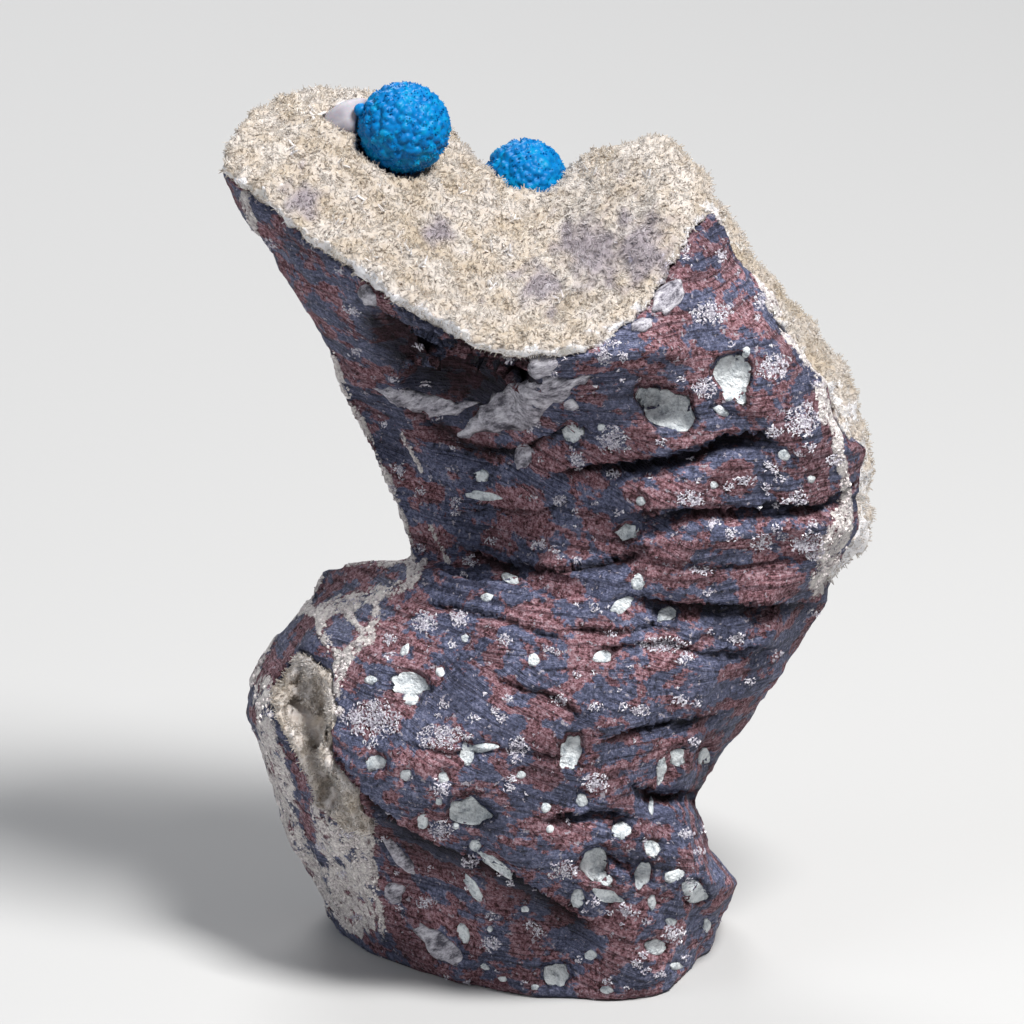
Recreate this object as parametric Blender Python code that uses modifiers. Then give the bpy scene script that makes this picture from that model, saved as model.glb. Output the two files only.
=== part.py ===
"""A cavansite specimen: two blue balls of radiating crystals on a stilbite druse, over S-shaped basalt.

Sizes are in millimetres, and turned into metres where a mesh is made. +X runs across the display face, +Y
away from the viewer and +Z up. The rock stands on a flat break at z = 0, with the origin in the middle of
its box.
"""

import math
import random
from collections import namedtuple

import bmesh
import bpy
from mathutils import Matrix, Vector, noise
from mathutils.bvhtree import BVHTree

MM = 0.001

# The rock's sections lie square to the line of sight of someone who looks down on the display face.
SIGHT_TILT = math.radians(20.0)
FOOT_FRONT = -17.0

# A section has this many points from a side edge to the middle of its front, and of its plainer back.
FRONT_QUARTER = 10
BACK_QUARTER = 5
RIGHT_EDGE = 2 * FRONT_QUARTER
POINTS_AROUND = RIGHT_EDGE + 2 * BACK_QUARTER
RING_SPACING = 3.8

# The broken surface: how far its lumps and smaller unevenness stand off the smooth form, and their widths.
# Beside the outline's two edges only a share of them is left, and it grows to the whole over some points.
LUMP_HEIGHT = 1.9
LUMP_WIDTH = 12.0
UNEVENNESS = 0.9
UNEVENNESS_WIDTH = 3.6
UNEVENNESS_SEED = 1
SHARE_AT_EDGE = 0.25
POINTS_TO_FULL = 4.0

# The crust's sheet has this thickness, with its crystals on it. It is sunk, so their points make the outline.
CRUST_THICKNESS = 1.5
CRUST_SUNK = 0.6
SEAM_GAP = 0.3
CRYSTAL_HEIGHT = 1.1

# On the back the crust ends along a ragged line. Beside the right edge it is a band, wider halfway up.
CRUST_FOOT_RIGHT = 45.0
CRUST_FOOT_LEFT = 53.0
CRUST_FOOT_RAGGED = 3.0
BAND_LEVELS = (44.0, 84.0)
WIDE_BAND_LEVELS = (60.0, 73.0)

BALL_LARGE_RADIUS = 4.8
BALL_LARGE_CENTRE = (-15.4, 5.0, 92.5)
BALL_SMALL_RADIUS = 4.4
BALL_SMALL_CENTRE = (-2.6, 14.0, 87.2)
SOCKET_EASE = 1.12
CALCITE_CENTRE = (-21.2, 7.8, 93.4)
CALCITE_SIZE = (3.4, 2.4, 2.0)

# level: height up the display face. left, right: the outline. crest, front: where the rock comes nearest the
# viewer. left_depth, right_depth, back: how far behind the middle the outline's edges and the back lie.
# left_fullness: the form from the left edge to the crest, where 1 is an ellipse and 2 is a straight chamfer.
Section = namedtuple("Section", "level left left_depth crest front right right_depth back left_fullness")
SECTIONS = [
    Section(-3.0, -20.5, 8.0, 5.5, -16.3, 15.0, 2.0, 19.0, 1.2),
    Section(0.5, -21.5, 8.0, 5.5, -17.3, 16.5, 2.0, 19.5, 1.2),
    Section(4.5, -22.5, 8.0, 4.5, -18.5, 17.5, 2.0, 20.0, 1.2),
    Section(8.7, -23.2, 8.0, 4.0, -19.5, 18.6, 0.0, 20.0, 1.2),
    Section(12.5, -24.7, 7.0, 3.4, -20.5, 20.2, -2.0, 20.0, 1.1),
    Section(16.1, -27.3, 7.0, 1.3, -21.5, 17.1, -1.0, 19.0, 1.0),
    Section(21.4, -28.9, 6.0, -1.9, -21.5, 15.4, 0.0, 18.0, 0.9),
    Section(25.7, -30.4, 5.0, -2.9, -20.5, 18.0, 0.0, 17.0, 0.9),
    Section(30.4, -32.2, 5.0, -1.9, -19.0, 21.4, 1.0, 16.0, 1.0),
    Section(34.1, -31.6, 5.0, -0.8, -17.5, 24.0, 2.0, 15.5, 1.1),
    Section(38.4, -29.2, 5.0, 2.0, -15.8, 26.6, 3.0, 15.0, 1.2),
    Section(42.6, -25.6, 6.0, 6.0, -14.6, 29.8, 4.0, 15.0, 1.4),
    Section(45.6, -24.4, 7.0, 9.0, -14.2, 31.5, 4.0, 15.0, 1.6),
    Section(47.0, -14.6, 4.0, 10.0, -14.0, 32.7, 4.0, 15.0, 1.7),
    Section(50.0, -15.2, 4.0, 11.5, -13.8, 34.6, 3.0, 15.0, 1.8),
    Section(53.2, -16.4, 4.0, 12.0, -13.6, 33.8, 3.0, 15.0, 1.9),
    Section(58.5, -19.3, 4.0, 11.0, -14.2, 34.3, 3.0, 15.5, 1.9),
    Section(61.7, -20.6, 4.0, 8.0, -15.2, 33.1, 3.0, 16.0, 1.8),
    Section(65.9, -22.7, 3.0, 2.0, -17.2, 32.3, 4.0, 16.5, 1.6),
    Section(69.1, -23.3, 2.0, -3.6, -18.6, 29.8, 5.0, 17.0, 1.4),
    Section(74.4, -26.6, 2.0, -9.0, -17.4, 25.5, 6.0, 17.0, 1.2),
    Section(78.7, -28.8, 2.0, -14.0, -15.5, 21.9, 6.0, 17.0, 1.2),
    Section(82.9, -32.4, 2.0, -18.0, -14.0, 19.8, 6.0, 17.0, 1.2),
    Section(87.8, -34.8, 2.0, -22.0, -11.5, 16.3, 6.0, 17.0, 1.2),
    Section(91.4, -34.0, 2.0, -24.0, -9.0, 15.0, 6.0, 17.0, 1.2),
    Section(96.0, -32.8, 3.0, -24.0, -7.0, 14.5, 6.0, 17.0, 1.2),
    Section(110.0, -31.0, 4.0, -24.0, -6.0, 13.0, 6.0, 17.0, 1.2),
]

RIGHT_FULLNESS = 0.95
BACK_FULLNESS = 0.75

# The dish on top: the height of the crystals' surface at each column and row of a coarse cage.
DISH_COLUMNS = [-42.0, -33.0, -25.0, -17.0, -8.0, 1.0, 10.0, 18.0, 27.0]
DISH_ROWS = [
    (-27.0, [88.0, 84.5, 79.5, 76.5, 72.5, 72.0, 74.0, 78.0, 80.0]),
    (-15.0, [89.0, 86.0, 82.0, 79.4, 75.2, 74.8, 78.0, 81.0, 82.0]),
    (-5.0, [90.0, 87.4, 85.4, 83.0, 78.4, 76.9, 82.8, 84.6, 83.0]),
    (6.0, [91.0, 90.4, 91.4, 91.4, 82.4, 79.8, 89.2, 84.8, 82.0]),
    (14.0, [89.5, 91.0, 92.2, 92.6, 83.8, 80.6, 90.0, 82.2, 80.0]),
    (27.0, [84.0, 85.0, 86.0, 86.0, 80.0, 77.0, 81.0, 79.0, 78.0]),
]

# The space over the dish reaches up to here, above every other form.
SPACE_TOP = 130.0

# Broken ledges on the display face: points across and up along the lip, then the ledge's depth and its drop.
LEDGES = [
    ([(4.0, 57.0), (9.9, 57.5), (14.2, 58.3), (18.7, 60.2), (23.8, 59.2)], 1.6, 4.0),
    ([(9.0, 50.8), (14.7, 52.3), (20.0, 52.4), (25.9, 52.8), (29.5, 53.4)], 1.3, 3.4),
    ([(9.5, 42.8), (15.0, 42.2), (20.6, 42.0), (28.0, 42.3)], 1.2, 3.2),
    ([(-6.0, 47.0), (0.5, 45.2), (6.5, 44.4)], 1.0, 3.4),
    ([(8.6, 22.2), (11.8, 22.4), (14.6, 23.2)], 1.2, 2.6),
    ([(0.6, 20.0), (4.6, 20.4), (9.2, 19.8)], 0.9, 2.4),
    ([(4.8, 15.8), (7.2, 15.4), (10.0, 14.0)], 0.8, 2.0),
]

# Shallow breaks that take a slice off the rounded rock: across, up, how deep, half width and half height.
BREAKS = [
    (-15.5, 11.0, 1.7, 15.0, 9.0),
    (12.5, 30.5, 1.3, 9.0, 6.0),
    (19.0, 46.0, 1.3, 10.0, 4.5),
    (-6.5, 58.0, 1.3, 8.0, 10.0),
]

DOME_HEIGHT = 5.0

# The hollow under the front lip of the dish: across, up, turn in degrees, half its width, height and depth.
UNDERCUT = (-8.6, 67.4, 14.0, (8.0, 3.9, 3.6))

# Open and half-filled gas bubbles: across, up, half width, half height, turn in degrees.
PITS = [
    (12.7, 63.0, 2.5, 2.3, 20.0),
    (19.6, 66.2, 1.8, 2.6, -15.0),
    (2.6, 60.3, 1.1, 1.0, 0.0),
    (8.5, 49.8, 1.3, 0.9, 10.0),
    (-14.5, 33.7, 2.1, 1.2, 15.0),
    (2.3, 26.5, 1.2, 1.8, -10.0),
    (-8.4, 20.2, 2.2, 1.4, 8.0),
    (-18.2, 25.3, 1.1, 1.0, 0.0),
    (4.9, 14.4, 1.8, 2.0, 0.0),
    (10.0, 13.5, 1.2, 1.7, -20.0),
    (15.7, 11.7, 1.5, 1.3, 10.0),
    (-11.2, 6.1, 2.3, 1.2, -20.0),
    (1.0, 3.0, 1.4, 1.3, 0.0),
    (11.3, 5.8, 1.2, 0.9, 15.0),
]
PIT_DEPTH_SHARE = 0.6

# The crystal-lined pocket on the lower left: across, up and half width along its length.
POCKET = [
    (-27.4, 34.4, 1.4),
    (-26.2, 32.6, 3.0),
    (-25.7, 29.6, 3.3),
    (-25.6, 26.6, 2.6),
    (-24.6, 23.8, 2.5),
    (-22.8, 21.2, 2.7),
    (-21.4, 18.8, 1.3),
]
POCKET_LINING = 1.2


def place(across, depth, level):
    """A spot in the specimen's frame, from its place across, its depth and its height up the display face."""
    drop = (depth - FOOT_FRONT) * math.sin(SIGHT_TILT)
    return Vector((across, depth, (level - drop) / math.cos(SIGHT_TILT)))


def section_at(level):
    """The section at any level, between the listed ones."""
    for below, above in zip(SECTIONS, SECTIONS[1:]):
        if level <= above.level:
            share = (level - below.level) / (above.level - below.level)
            return Section(*(a + (b - a) * share for a, b in zip(below, above)))
    return SECTIONS[-1]


def ring_levels():
    """Every listed level, with more between them so that no two rings are far apart."""
    levels = [SECTIONS[0].level]
    for section in SECTIONS[1:]:
        below = levels[-1]
        steps = max(1, round((section.level - below) / RING_SPACING))
        levels += [below + (section.level - below) * (i + 1) / steps for i in range(steps)]
    return levels


def quarter_point(share, middle, depth, side, side_depth, fullness):
    """A point on a quarter of a section, from its side edge at share 0 to its front or back at share 1."""
    angle = share * math.pi / 2
    across = middle + (side - middle) * math.cos(angle) ** fullness
    return Vector((across, side_depth + (depth - side_depth) * math.sin(angle) ** fullness))


def outline(s):
    """The closed outline of section s: the left edge, then round the front, the right edge and the back."""
    front = [i / FRONT_QUARTER for i in range(FRONT_QUARTER)]
    back = [i / BACK_QUARTER for i in range(BACK_QUARTER)]
    middle = (s.left + s.right) / 2
    points = [quarter_point(t, s.crest, s.front, s.left, s.left_depth, s.left_fullness) for t in front]
    points += [quarter_point(1 - t, s.crest, s.front, s.right, s.right_depth, RIGHT_FULLNESS) for t in front]
    points += [quarter_point(t, middle, s.back, s.right, s.right_depth, BACK_FULLNESS) for t in back]
    points += [quarter_point(1 - t, middle, s.back, s.left, s.left_depth, BACK_FULLNESS) for t in back]
    return points


def outward_at(points, index):
    """The direction square to the outline there, away from the rock."""
    along = points[(index + 1) % len(points)] - points[index - 1]
    return Vector((along.y, -along.x, 0.0)).normalized()


def is_crusted(index, level):
    """Whether crystals coat the side of the rock: the back above a ragged line, and a band beside it."""
    if index > RIGHT_EDGE:
        share = min(1.0, (index - RIGHT_EDGE) / BACK_QUARTER)
        ragged = CRUST_FOOT_RAGGED * noise.noise(Vector((index * 0.9, 3.1, 7.7)))
        return level > CRUST_FOOT_RIGHT + (CRUST_FOOT_LEFT - CRUST_FOOT_RIGHT) * share + ragged
    from_edge = RIGHT_EDGE - index
    if WIDE_BAND_LEVELS[0] < level < WIDE_BAND_LEVELS[1]:
        return from_edge <= 2
    return from_edge <= 1 and BAND_LEVELS[0] < level < BAND_LEVELS[1]


def unevenness(spot, outward, share):
    """How a spot of the broken surface stands off its smooth form: with the lumps, and a little sideways."""
    broad = noise.noise(spot / LUMP_WIDTH)
    fine = noise.noise(spot / (LUMP_WIDTH * 0.4) + Vector((9.0, 4.0, 1.0)))
    sideways = noise.noise_vector(spot / UNEVENNESS_WIDTH) * UNEVENNESS
    return (outward * LUMP_HEIGHT * (broad + 0.45 * fine) + sideways) * share


def rock_form(name, crusted_growth=0.0, bare_growth=0.0, crystals=False, foot=0.0):
    """The rock's form as one closed solid, grown or shrunk where crystals coat it and where it is bare."""
    bm = bmesh.new()
    rings, coated = [], set()
    for level in ring_levels():
        points = outline(section_at(level))
        ring = []
        for index, point in enumerate(points):
            spot = place(point.x, point.y, level)
            from_edge = min(index, abs(RIGHT_EDGE - index), POINTS_AROUND - index)
            share = min(1.0, SHARE_AT_EDGE + from_edge / POINTS_TO_FULL)
            vert = bm.verts.new(spot + unevenness(spot, outward_at(points, index), share))
            ring.append(vert)
            if is_crusted(index, level):
                coated.add(vert)
        rings.append(ring)
    bridge(bm, rings, split=not crystals)
    bm.normal_update()
    for vert in bm.verts:
        vert.co += vert.normal * (crusted_growth if vert in coated else bare_growth)
    if crystals:
        raise_crystals(bm, [face for face in bm.faces if coated.issuperset(face.verts)], random.Random(11))
    cut_off_below(bm, foot)
    return solid_object(name, bm)


def raise_crystals(bm, faces, chance):
    """Raise a leaning four-sided crystal on each face."""
    tips = bmesh.ops.poke(bm, faces=faces)["verts"]
    bm.normal_update()
    for tip in tips:
        lean = Vector([chance.uniform(-0.5, 0.5) for axis in range(3)])
        tip.co += tip.normal * CRYSTAL_HEIGHT * chance.uniform(0.5, 1.3) + lean


def bridge(bm, rings, split=True):
    """Join closed rings of vertices into one closed skin. Forms that nest have their squares split alike."""
    for row, (low, high) in enumerate(zip(rings, rings[1:])):
        for i in range(len(low)):
            j = (i + 1) % len(low)
            if not split:
                bm.faces.new((low[i], low[j], high[j], high[i]))
            elif (i + row) % 2:
                bm.faces.new((low[i], low[j], high[j]))
                bm.faces.new((low[i], high[j], high[i]))
            else:
                bm.faces.new((low[i], low[j], high[i]))
                bm.faces.new((low[j], high[j], high[i]))
    bm.faces.new(rings[0][::-1])
    bm.faces.new(rings[-1])


def cut_off_below(bm, height):
    """Cut a closed mesh flat at a height, and close the cut."""
    everything = bm.verts[:] + bm.edges[:] + bm.faces[:]
    flat = {"plane_co": (0.0, 0.0, height), "plane_no": (0.0, 0.0, 1.0)}
    halved = bmesh.ops.bisect_plane(bm, geom=everything, clear_inner=True, **flat)
    rim = [edge for edge in halved["geom_cut"] if isinstance(edge, bmesh.types.BMEdge)]
    bmesh.ops.contextual_create(bm, geom=rim)


def collection(name):
    found = bpy.data.collections.get(name)
    if found is None:
        found = bpy.data.collections.new(name)
        bpy.context.scene.collection.children.link(found)
    return found


def solid_object(name, bm):
    """An object in metres from a closed mesh in millimetres, a cutter until it is finished as a piece."""
    bmesh.ops.triangulate(bm, faces=bm.faces)
    bmesh.ops.recalc_face_normals(bm, faces=bm.faces)
    bmesh.ops.scale(bm, verts=bm.verts, vec=(MM, MM, MM))
    mesh = bpy.data.meshes.new(name)
    bm.to_mesh(mesh)
    bm.free()
    obj = bpy.data.objects.new(name, mesh)
    collection("cutters").objects.link(obj)
    obj.hide_render = True
    obj.display_type = "WIRE"
    return obj


def cut(obj, cutter, operation="DIFFERENCE"):
    """Cut a solid by another, or keep what they share, as its own mesh."""
    modifier = obj.modifiers.new(cutter.name, "BOOLEAN")
    modifier.operation = operation
    modifier.object = cutter
    evaluated = obj.evaluated_get(bpy.context.evaluated_depsgraph_get())
    mesh = bpy.data.meshes.new_from_object(evaluated)
    obj.modifiers.clear()
    obj.data = mesh


def dish_sheet(name, subdivisions, lowered):
    """The dish's surface as an open sheet, from its coarse cage."""
    bm = bmesh.new()
    bmesh.ops.create_grid(bm, x_segments=len(DISH_COLUMNS) - 1, y_segments=len(DISH_ROWS) - 1, size=1.0)
    bm.verts.ensure_lookup_table()
    for vert in bm.verts:
        column = round((vert.co.x + 1) / 2 * (len(DISH_COLUMNS) - 1))
        depth, heights = DISH_ROWS[round((vert.co.y + 1) / 2 * (len(DISH_ROWS) - 1))]
        vert.co = (DISH_COLUMNS[column], depth, heights[column] - lowered)
    mesh = bpy.data.meshes.new(name)
    bm.to_mesh(mesh)
    bm.free()
    cage = bpy.data.objects.new(name, mesh)
    collection("cutters").objects.link(cage)
    smooth = cage.modifiers.new("smooth", "SUBSURF")
    smooth.levels = smooth.render_levels = subdivisions
    sheet = bmesh.new()
    sheet.from_mesh(cage.evaluated_get(bpy.context.evaluated_depsgraph_get()).to_mesh())
    bpy.data.objects.remove(cage)
    return sheet


def space_over_dish(name, subdivisions=1, lowered=0.0, crystals=False):
    """Everything above the dish, as a cutter. With crystals, its underside leaves their points standing."""
    chance = random.Random(5)
    bm = dish_sheet(name, subdivisions, lowered)
    if crystals:
        for vert in bm.verts:
            vert.co += Vector([chance.uniform(-0.5, 0.5) for axis in range(3)])
        poked = bmesh.ops.poke(bm, faces=bm.faces)
        for tip in poked["verts"]:
            lean = Vector((chance.uniform(-0.8, 0.8), chance.uniform(-0.8, 0.8), 0.0))
            tip.co += lean + Vector((0.0, 0.0, CRYSTAL_HEIGHT * chance.uniform(0.4, 1.8)))
    rim = [edge for edge in bm.edges if edge.is_boundary]
    raised = bmesh.ops.extrude_edge_only(bm, edges=rim)
    for item in raised["geom"]:
        if isinstance(item, bmesh.types.BMVert):
            item.co.z = SPACE_TOP
    bmesh.ops.holes_fill(bm, edges=[edge for edge in bm.edges if edge.is_boundary])
    return solid_object(name, bm)


def spot_on_face(tree, across, level):
    """Where the line of sight at this place across and up meets the display face, and which way it faces."""
    start = place(across, -60.0, level) * MM
    along = Vector((0.0, math.cos(SIGHT_TILT), -math.sin(SIGHT_TILT)))
    spot, normal, _, _ = tree.ray_cast(start, along)
    return spot / MM, normal


def facing(normal, turn=0.0):
    """A turn whose Z faces out of the rock and whose X runs across it, then turned in the rock's surface."""
    out = normal.normalized()
    right = (Vector((1.0, 0.0, 0.0)) - out * out.x).normalized()
    basis = Matrix((right, out.cross(right), out)).transposed()
    return basis.to_4x4() @ Matrix.Rotation(math.radians(turn), 4, "Z")


def ledge_cutter(tree, number, lip, depth, drop):
    """A wedge under a ledge: its point runs inside the rock below the lip and fades out at both ends."""
    bm = bmesh.new()
    rings = []
    for place_along, (across, level) in enumerate(lip):
        spot, normal = spot_on_face(tree, across, level)
        at_end = place_along in (0, len(lip) - 1)
        inward = 0.1 if at_end else -depth
        fall = drop * (0.4 if at_end else 1.0)
        top = spot + normal * inward
        lip_out = spot + normal * 3.0 + Vector((0.0, 0.0, 0.4))
        under = spot + normal * (0.3 if at_end else 0.1) - Vector((0.0, 0.0, fall))
        under_out = spot + normal * 3.5 - Vector((0.0, 0.0, fall))
        rings.append([bm.verts.new(corner) for corner in (top, lip_out, under_out, under)])
    bridge(bm, rings)
    return solid_object(f"ledge_cutter_{number}", bm)


def break_cutter(tree, number, across, level, depth, half_width, half_height):
    """A wide, low dome whose underside takes a shallow shell off the rock, as a hammer blow does."""
    spread = 1.0 / math.sqrt(1.0 - (1.0 - depth / DOME_HEIGHT) ** 2)
    bm = bmesh.new()
    spot, normal = spot_on_face(tree, across, level)
    placed = Matrix.Translation(spot + normal * (DOME_HEIGHT - depth)) @ facing(normal)
    size = Matrix.Diagonal((half_width * spread, half_height * spread, DOME_HEIGHT, 1.0))
    bmesh.ops.create_icosphere(bm, subdivisions=2, radius=1.0, matrix=placed @ size)
    return solid_object(f"break_cutter_{number}", bm)


def undercut_cutter(tree):
    """A flattened ball that hollows the rock under the dish's front lip."""
    across, level, turn, half_sizes = UNDERCUT
    bm = bmesh.new()
    spot, normal = spot_on_face(tree, across, level)
    placed = Matrix.Translation(spot) @ facing(normal, turn) @ Matrix.Diagonal((*half_sizes, 1.0))
    bmesh.ops.create_uvsphere(bm, u_segments=12, v_segments=6, radius=1.0, matrix=placed)
    return solid_object("undercut_cutter", bm)


def pit_cutters(tree):
    """All the open bubbles as one set of flattened balls, each half sunk into the rock."""
    bm = bmesh.new()
    for across, level, half_width, half_height, turn in PITS:
        spot, normal = spot_on_face(tree, across, level)
        depth = PIT_DEPTH_SHARE * min(half_width, half_height)
        size = Matrix.Diagonal((half_width, half_height, depth, 1.0))
        placed = Matrix.Translation(spot) @ facing(normal, turn) @ size
        bmesh.ops.create_uvsphere(bm, u_segments=8, v_segments=5, radius=1.0, matrix=placed)
    return solid_object("pit_cutters", bm)


def pocket_form(tree, name, growth, crystals=False):
    """The pocket's hollow as a bent, swelling tube. With crystals, its walls bristle inwards."""
    chance = random.Random(3)
    bm = bmesh.new()
    stations = [(spot_on_face(tree, across, level), half_width) for across, level, half_width in POCKET]
    rings = []
    for i, ((spot, normal), half_width) in enumerate(stations):
        before = stations[max(0, i - 1)][0][0]
        after = stations[min(len(stations) - 1, i + 1)][0][0]
        along = (after - before).normalized()
        side = along.cross(normal).normalized()
        end = along * (growth if i == len(stations) - 1 else -growth if i == 0 else 0.0)
        ring = []
        for k in range(10):
            angle = k * math.pi / 5
            bristle = chance.uniform(0.0, 0.5) * (-1 if (k + i) % 2 else 0) if crystals else 0.0
            reach = half_width + growth + bristle
            outward = side * math.cos(angle) + normal * math.sin(angle)
            ring.append(bm.verts.new(spot + end + outward * reach))
        rings.append(ring)
    bridge(bm, rings)
    return solid_object(name, bm)


def ball_form(name, centre, radius):
    """A plain ball, as a socket for the crystal ball of the same centre."""
    bm = bmesh.new()
    bmesh.ops.create_icosphere(bm, subdivisions=2, radius=radius, matrix=Matrix.Translation(place(*centre)))
    return solid_object(name, bm)


def crystal_ball(name, centre, radius, seed):
    """A ball of radiating crystals: a three-sided point stands on each face, with valleys between."""
    chance = random.Random(seed)
    bm = bmesh.new()
    bmesh.ops.create_icosphere(bm, subdivisions=3, radius=radius)
    for vert in bm.verts:
        vert.co *= chance.uniform(0.83, 0.9)
    for tip in bmesh.ops.poke(bm, faces=bm.faces)["verts"]:
        lean = Vector([chance.uniform(-0.04, 0.04) for axis in range(3)])
        tip.co = (tip.co.normalized() + lean).normalized() * radius * chance.uniform(0.94, 1.0)
    bmesh.ops.translate(bm, verts=bm.verts, vec=place(*centre))
    return solid_object(name, bm)


def calcite_form(name, growth=0.0):
    """A smooth rounded crystal, lying half sunk in the druse."""
    bm = bmesh.new()
    size = Matrix.Diagonal([half + growth for half in CALCITE_SIZE] + [1.0])
    placed = Matrix.Translation(place(*CALCITE_CENTRE)) @ Matrix.Rotation(math.radians(-28.0), 4, "Y") @ size
    bmesh.ops.create_uvsphere(bm, u_segments=12, v_segments=8, radius=1.0, matrix=placed)
    return solid_object(name, bm)


def finish_piece(obj, material):
    """Clean the cuts, keep the one main body, and move the object from the cutters to the specimen."""
    bm = bmesh.new()
    bm.from_mesh(obj.data)
    bmesh.ops.remove_doubles(bm, verts=bm.verts, dist=0.02 * MM)
    bmesh.ops.dissolve_degenerate(bm, edges=bm.edges, dist=0.01 * MM)
    bmesh.ops.triangulate(bm, faces=bm.faces)
    bodies = separate_bodies(bm)
    for body in sorted(bodies, key=len)[:-1]:
        bmesh.ops.delete(bm, geom=body, context="VERTS")
    bm.to_mesh(obj.data)
    bm.free()
    obj.data.materials.clear()
    obj.data.materials.append(material)
    collection("cutters").objects.unlink(obj)
    collection("cavansite_specimen").objects.link(obj)
    obj.hide_render = False
    obj.display_type = "TEXTURED"


def separate_bodies(bm):
    """The mesh's vertices, in one list for each body that hangs together."""
    unseen = set(bm.verts)
    bodies = []
    while unseen:
        body, edge_of_search = [], [unseen.pop()]
        while edge_of_search:
            vert = edge_of_search.pop()
            body.append(vert)
            near = {edge.other_vert(vert) for edge in vert.link_edges} & unseen
            unseen -= near
            edge_of_search += near
        bodies.append(body)
    return bodies


def material(name, colour, roughness):
    made = bpy.data.materials.new(name)
    made.use_nodes = True
    shader = made.node_tree.nodes["Principled BSDF"]
    shader.inputs["Base Color"].default_value = (*colour, 1.0)
    shader.inputs["Roughness"].default_value = roughness
    shader.inputs["Metallic"].default_value = 0.0
    return made


def put_origin_in_the_middle(pieces):
    """Move every piece alike, so that the origin is in the middle of the specimen's box at its foot."""
    corners = [vert.co for obj in pieces for vert in obj.data.vertices]
    middle_x = (min(c.x for c in corners) + max(c.x for c in corners)) / 2
    middle_y = (min(c.y for c in corners) + max(c.y for c in corners)) / 2
    for obj in pieces:
        obj.data.transform(Matrix.Translation((-middle_x, -middle_y, 0.0)))


for leftover in list(bpy.data.objects):
    bpy.data.objects.remove(leftover)
noise.seed_set(UNEVENNESS_SEED)

basalt = material("basalt", (0.11, 0.075, 0.08), 0.85)
stilbite = material("stilbite", (0.72, 0.62, 0.45), 0.35)
cavansite = material("cavansite", (0.0, 0.17, 0.62), 0.3)
calcite = material("calcite", (0.5, 0.48, 0.5), 0.2)

# The bare rock, sunk where the crust coats it, with the dish's floor, its ledges and its bubbles cut in.
matrix_rock = rock_form("basalt_matrix", crusted_growth=-(CRUST_SUNK + CRUST_THICKNESS + SEAM_GAP))
bpy.context.view_layer.update()
display_face = BVHTree.FromObject(matrix_rock, bpy.context.evaluated_depsgraph_get())
cut(matrix_rock, space_over_dish("space_over_rock", lowered=CRUST_THICKNESS + SEAM_GAP))
for count, flat_break in enumerate(BREAKS):
    cut(matrix_rock, break_cutter(display_face, count, *flat_break))
for count, (ledge_lip, ledge_depth, ledge_drop) in enumerate(LEDGES):
    cut(matrix_rock, ledge_cutter(display_face, count, ledge_lip, ledge_depth, ledge_drop))
cut(matrix_rock, undercut_cutter(display_face))
cut(matrix_rock, pit_cutters(display_face))
cut(matrix_rock, pocket_form(display_face, "pocket_cutter", POCKET_LINING + SEAM_GAP))

# The crystals that coat the dish, the back and the right edge, grown together in one crust.
druse = rock_form("stilbite_druse", crusted_growth=-CRUST_SUNK, crystals=True)
cut(druse, space_over_dish("space_over_crystals", subdivisions=2, crystals=True))
core = rock_form("core", crusted_growth=-(CRUST_SUNK + CRUST_THICKNESS), bare_growth=0.8, foot=-1.0)
cut(core, space_over_dish("space_over_core", lowered=CRUST_THICKNESS))
cut(druse, core)

# The lining of the pocket: crystals that point into the hollow, cut off flush with the rock's face.
lining = pocket_form(display_face, "pocket_crystals", POCKET_LINING)
cut(lining, pocket_form(display_face, "pocket_hollow", 0.0, crystals=True))
cut(lining, rock_form("flush_face"), "INTERSECT")

# The balls and the calcite sit in sockets of the druse, and of the rock where they reach through it.
ball_large = crystal_ball("cavansite_ball_large", BALL_LARGE_CENTRE, BALL_LARGE_RADIUS, seed=21)
ball_small = crystal_ball("cavansite_ball_small", BALL_SMALL_CENTRE, BALL_SMALL_RADIUS, seed=22)
calcite_lens = calcite_form("calcite_crystal")
sockets = [
    ball_form("socket_large", BALL_LARGE_CENTRE, BALL_LARGE_RADIUS * SOCKET_EASE),
    ball_form("socket_small", BALL_SMALL_CENTRE, BALL_SMALL_RADIUS * SOCKET_EASE),
    calcite_form("socket_calcite", SEAM_GAP),
]
for socket in sockets:
    cut(druse, socket)
    cut(matrix_rock, socket)
cut(calcite_lens, sockets[0])

finish_piece(matrix_rock, basalt)
finish_piece(druse, stilbite)
finish_piece(lining, stilbite)
finish_piece(ball_large, cavansite)
finish_piece(ball_small, cavansite)
finish_piece(calcite_lens, calcite)
put_origin_in_the_middle(list(collection("cavansite_specimen").objects))
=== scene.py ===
"""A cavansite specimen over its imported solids: mottled basalt, a crust of fine blades and two blue balls."""

import math
import random
from collections import defaultdict

import bmesh
import bpy
from mathutils import Matrix, Vector, noise
from mathutils.bvhtree import BVHTree


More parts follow.
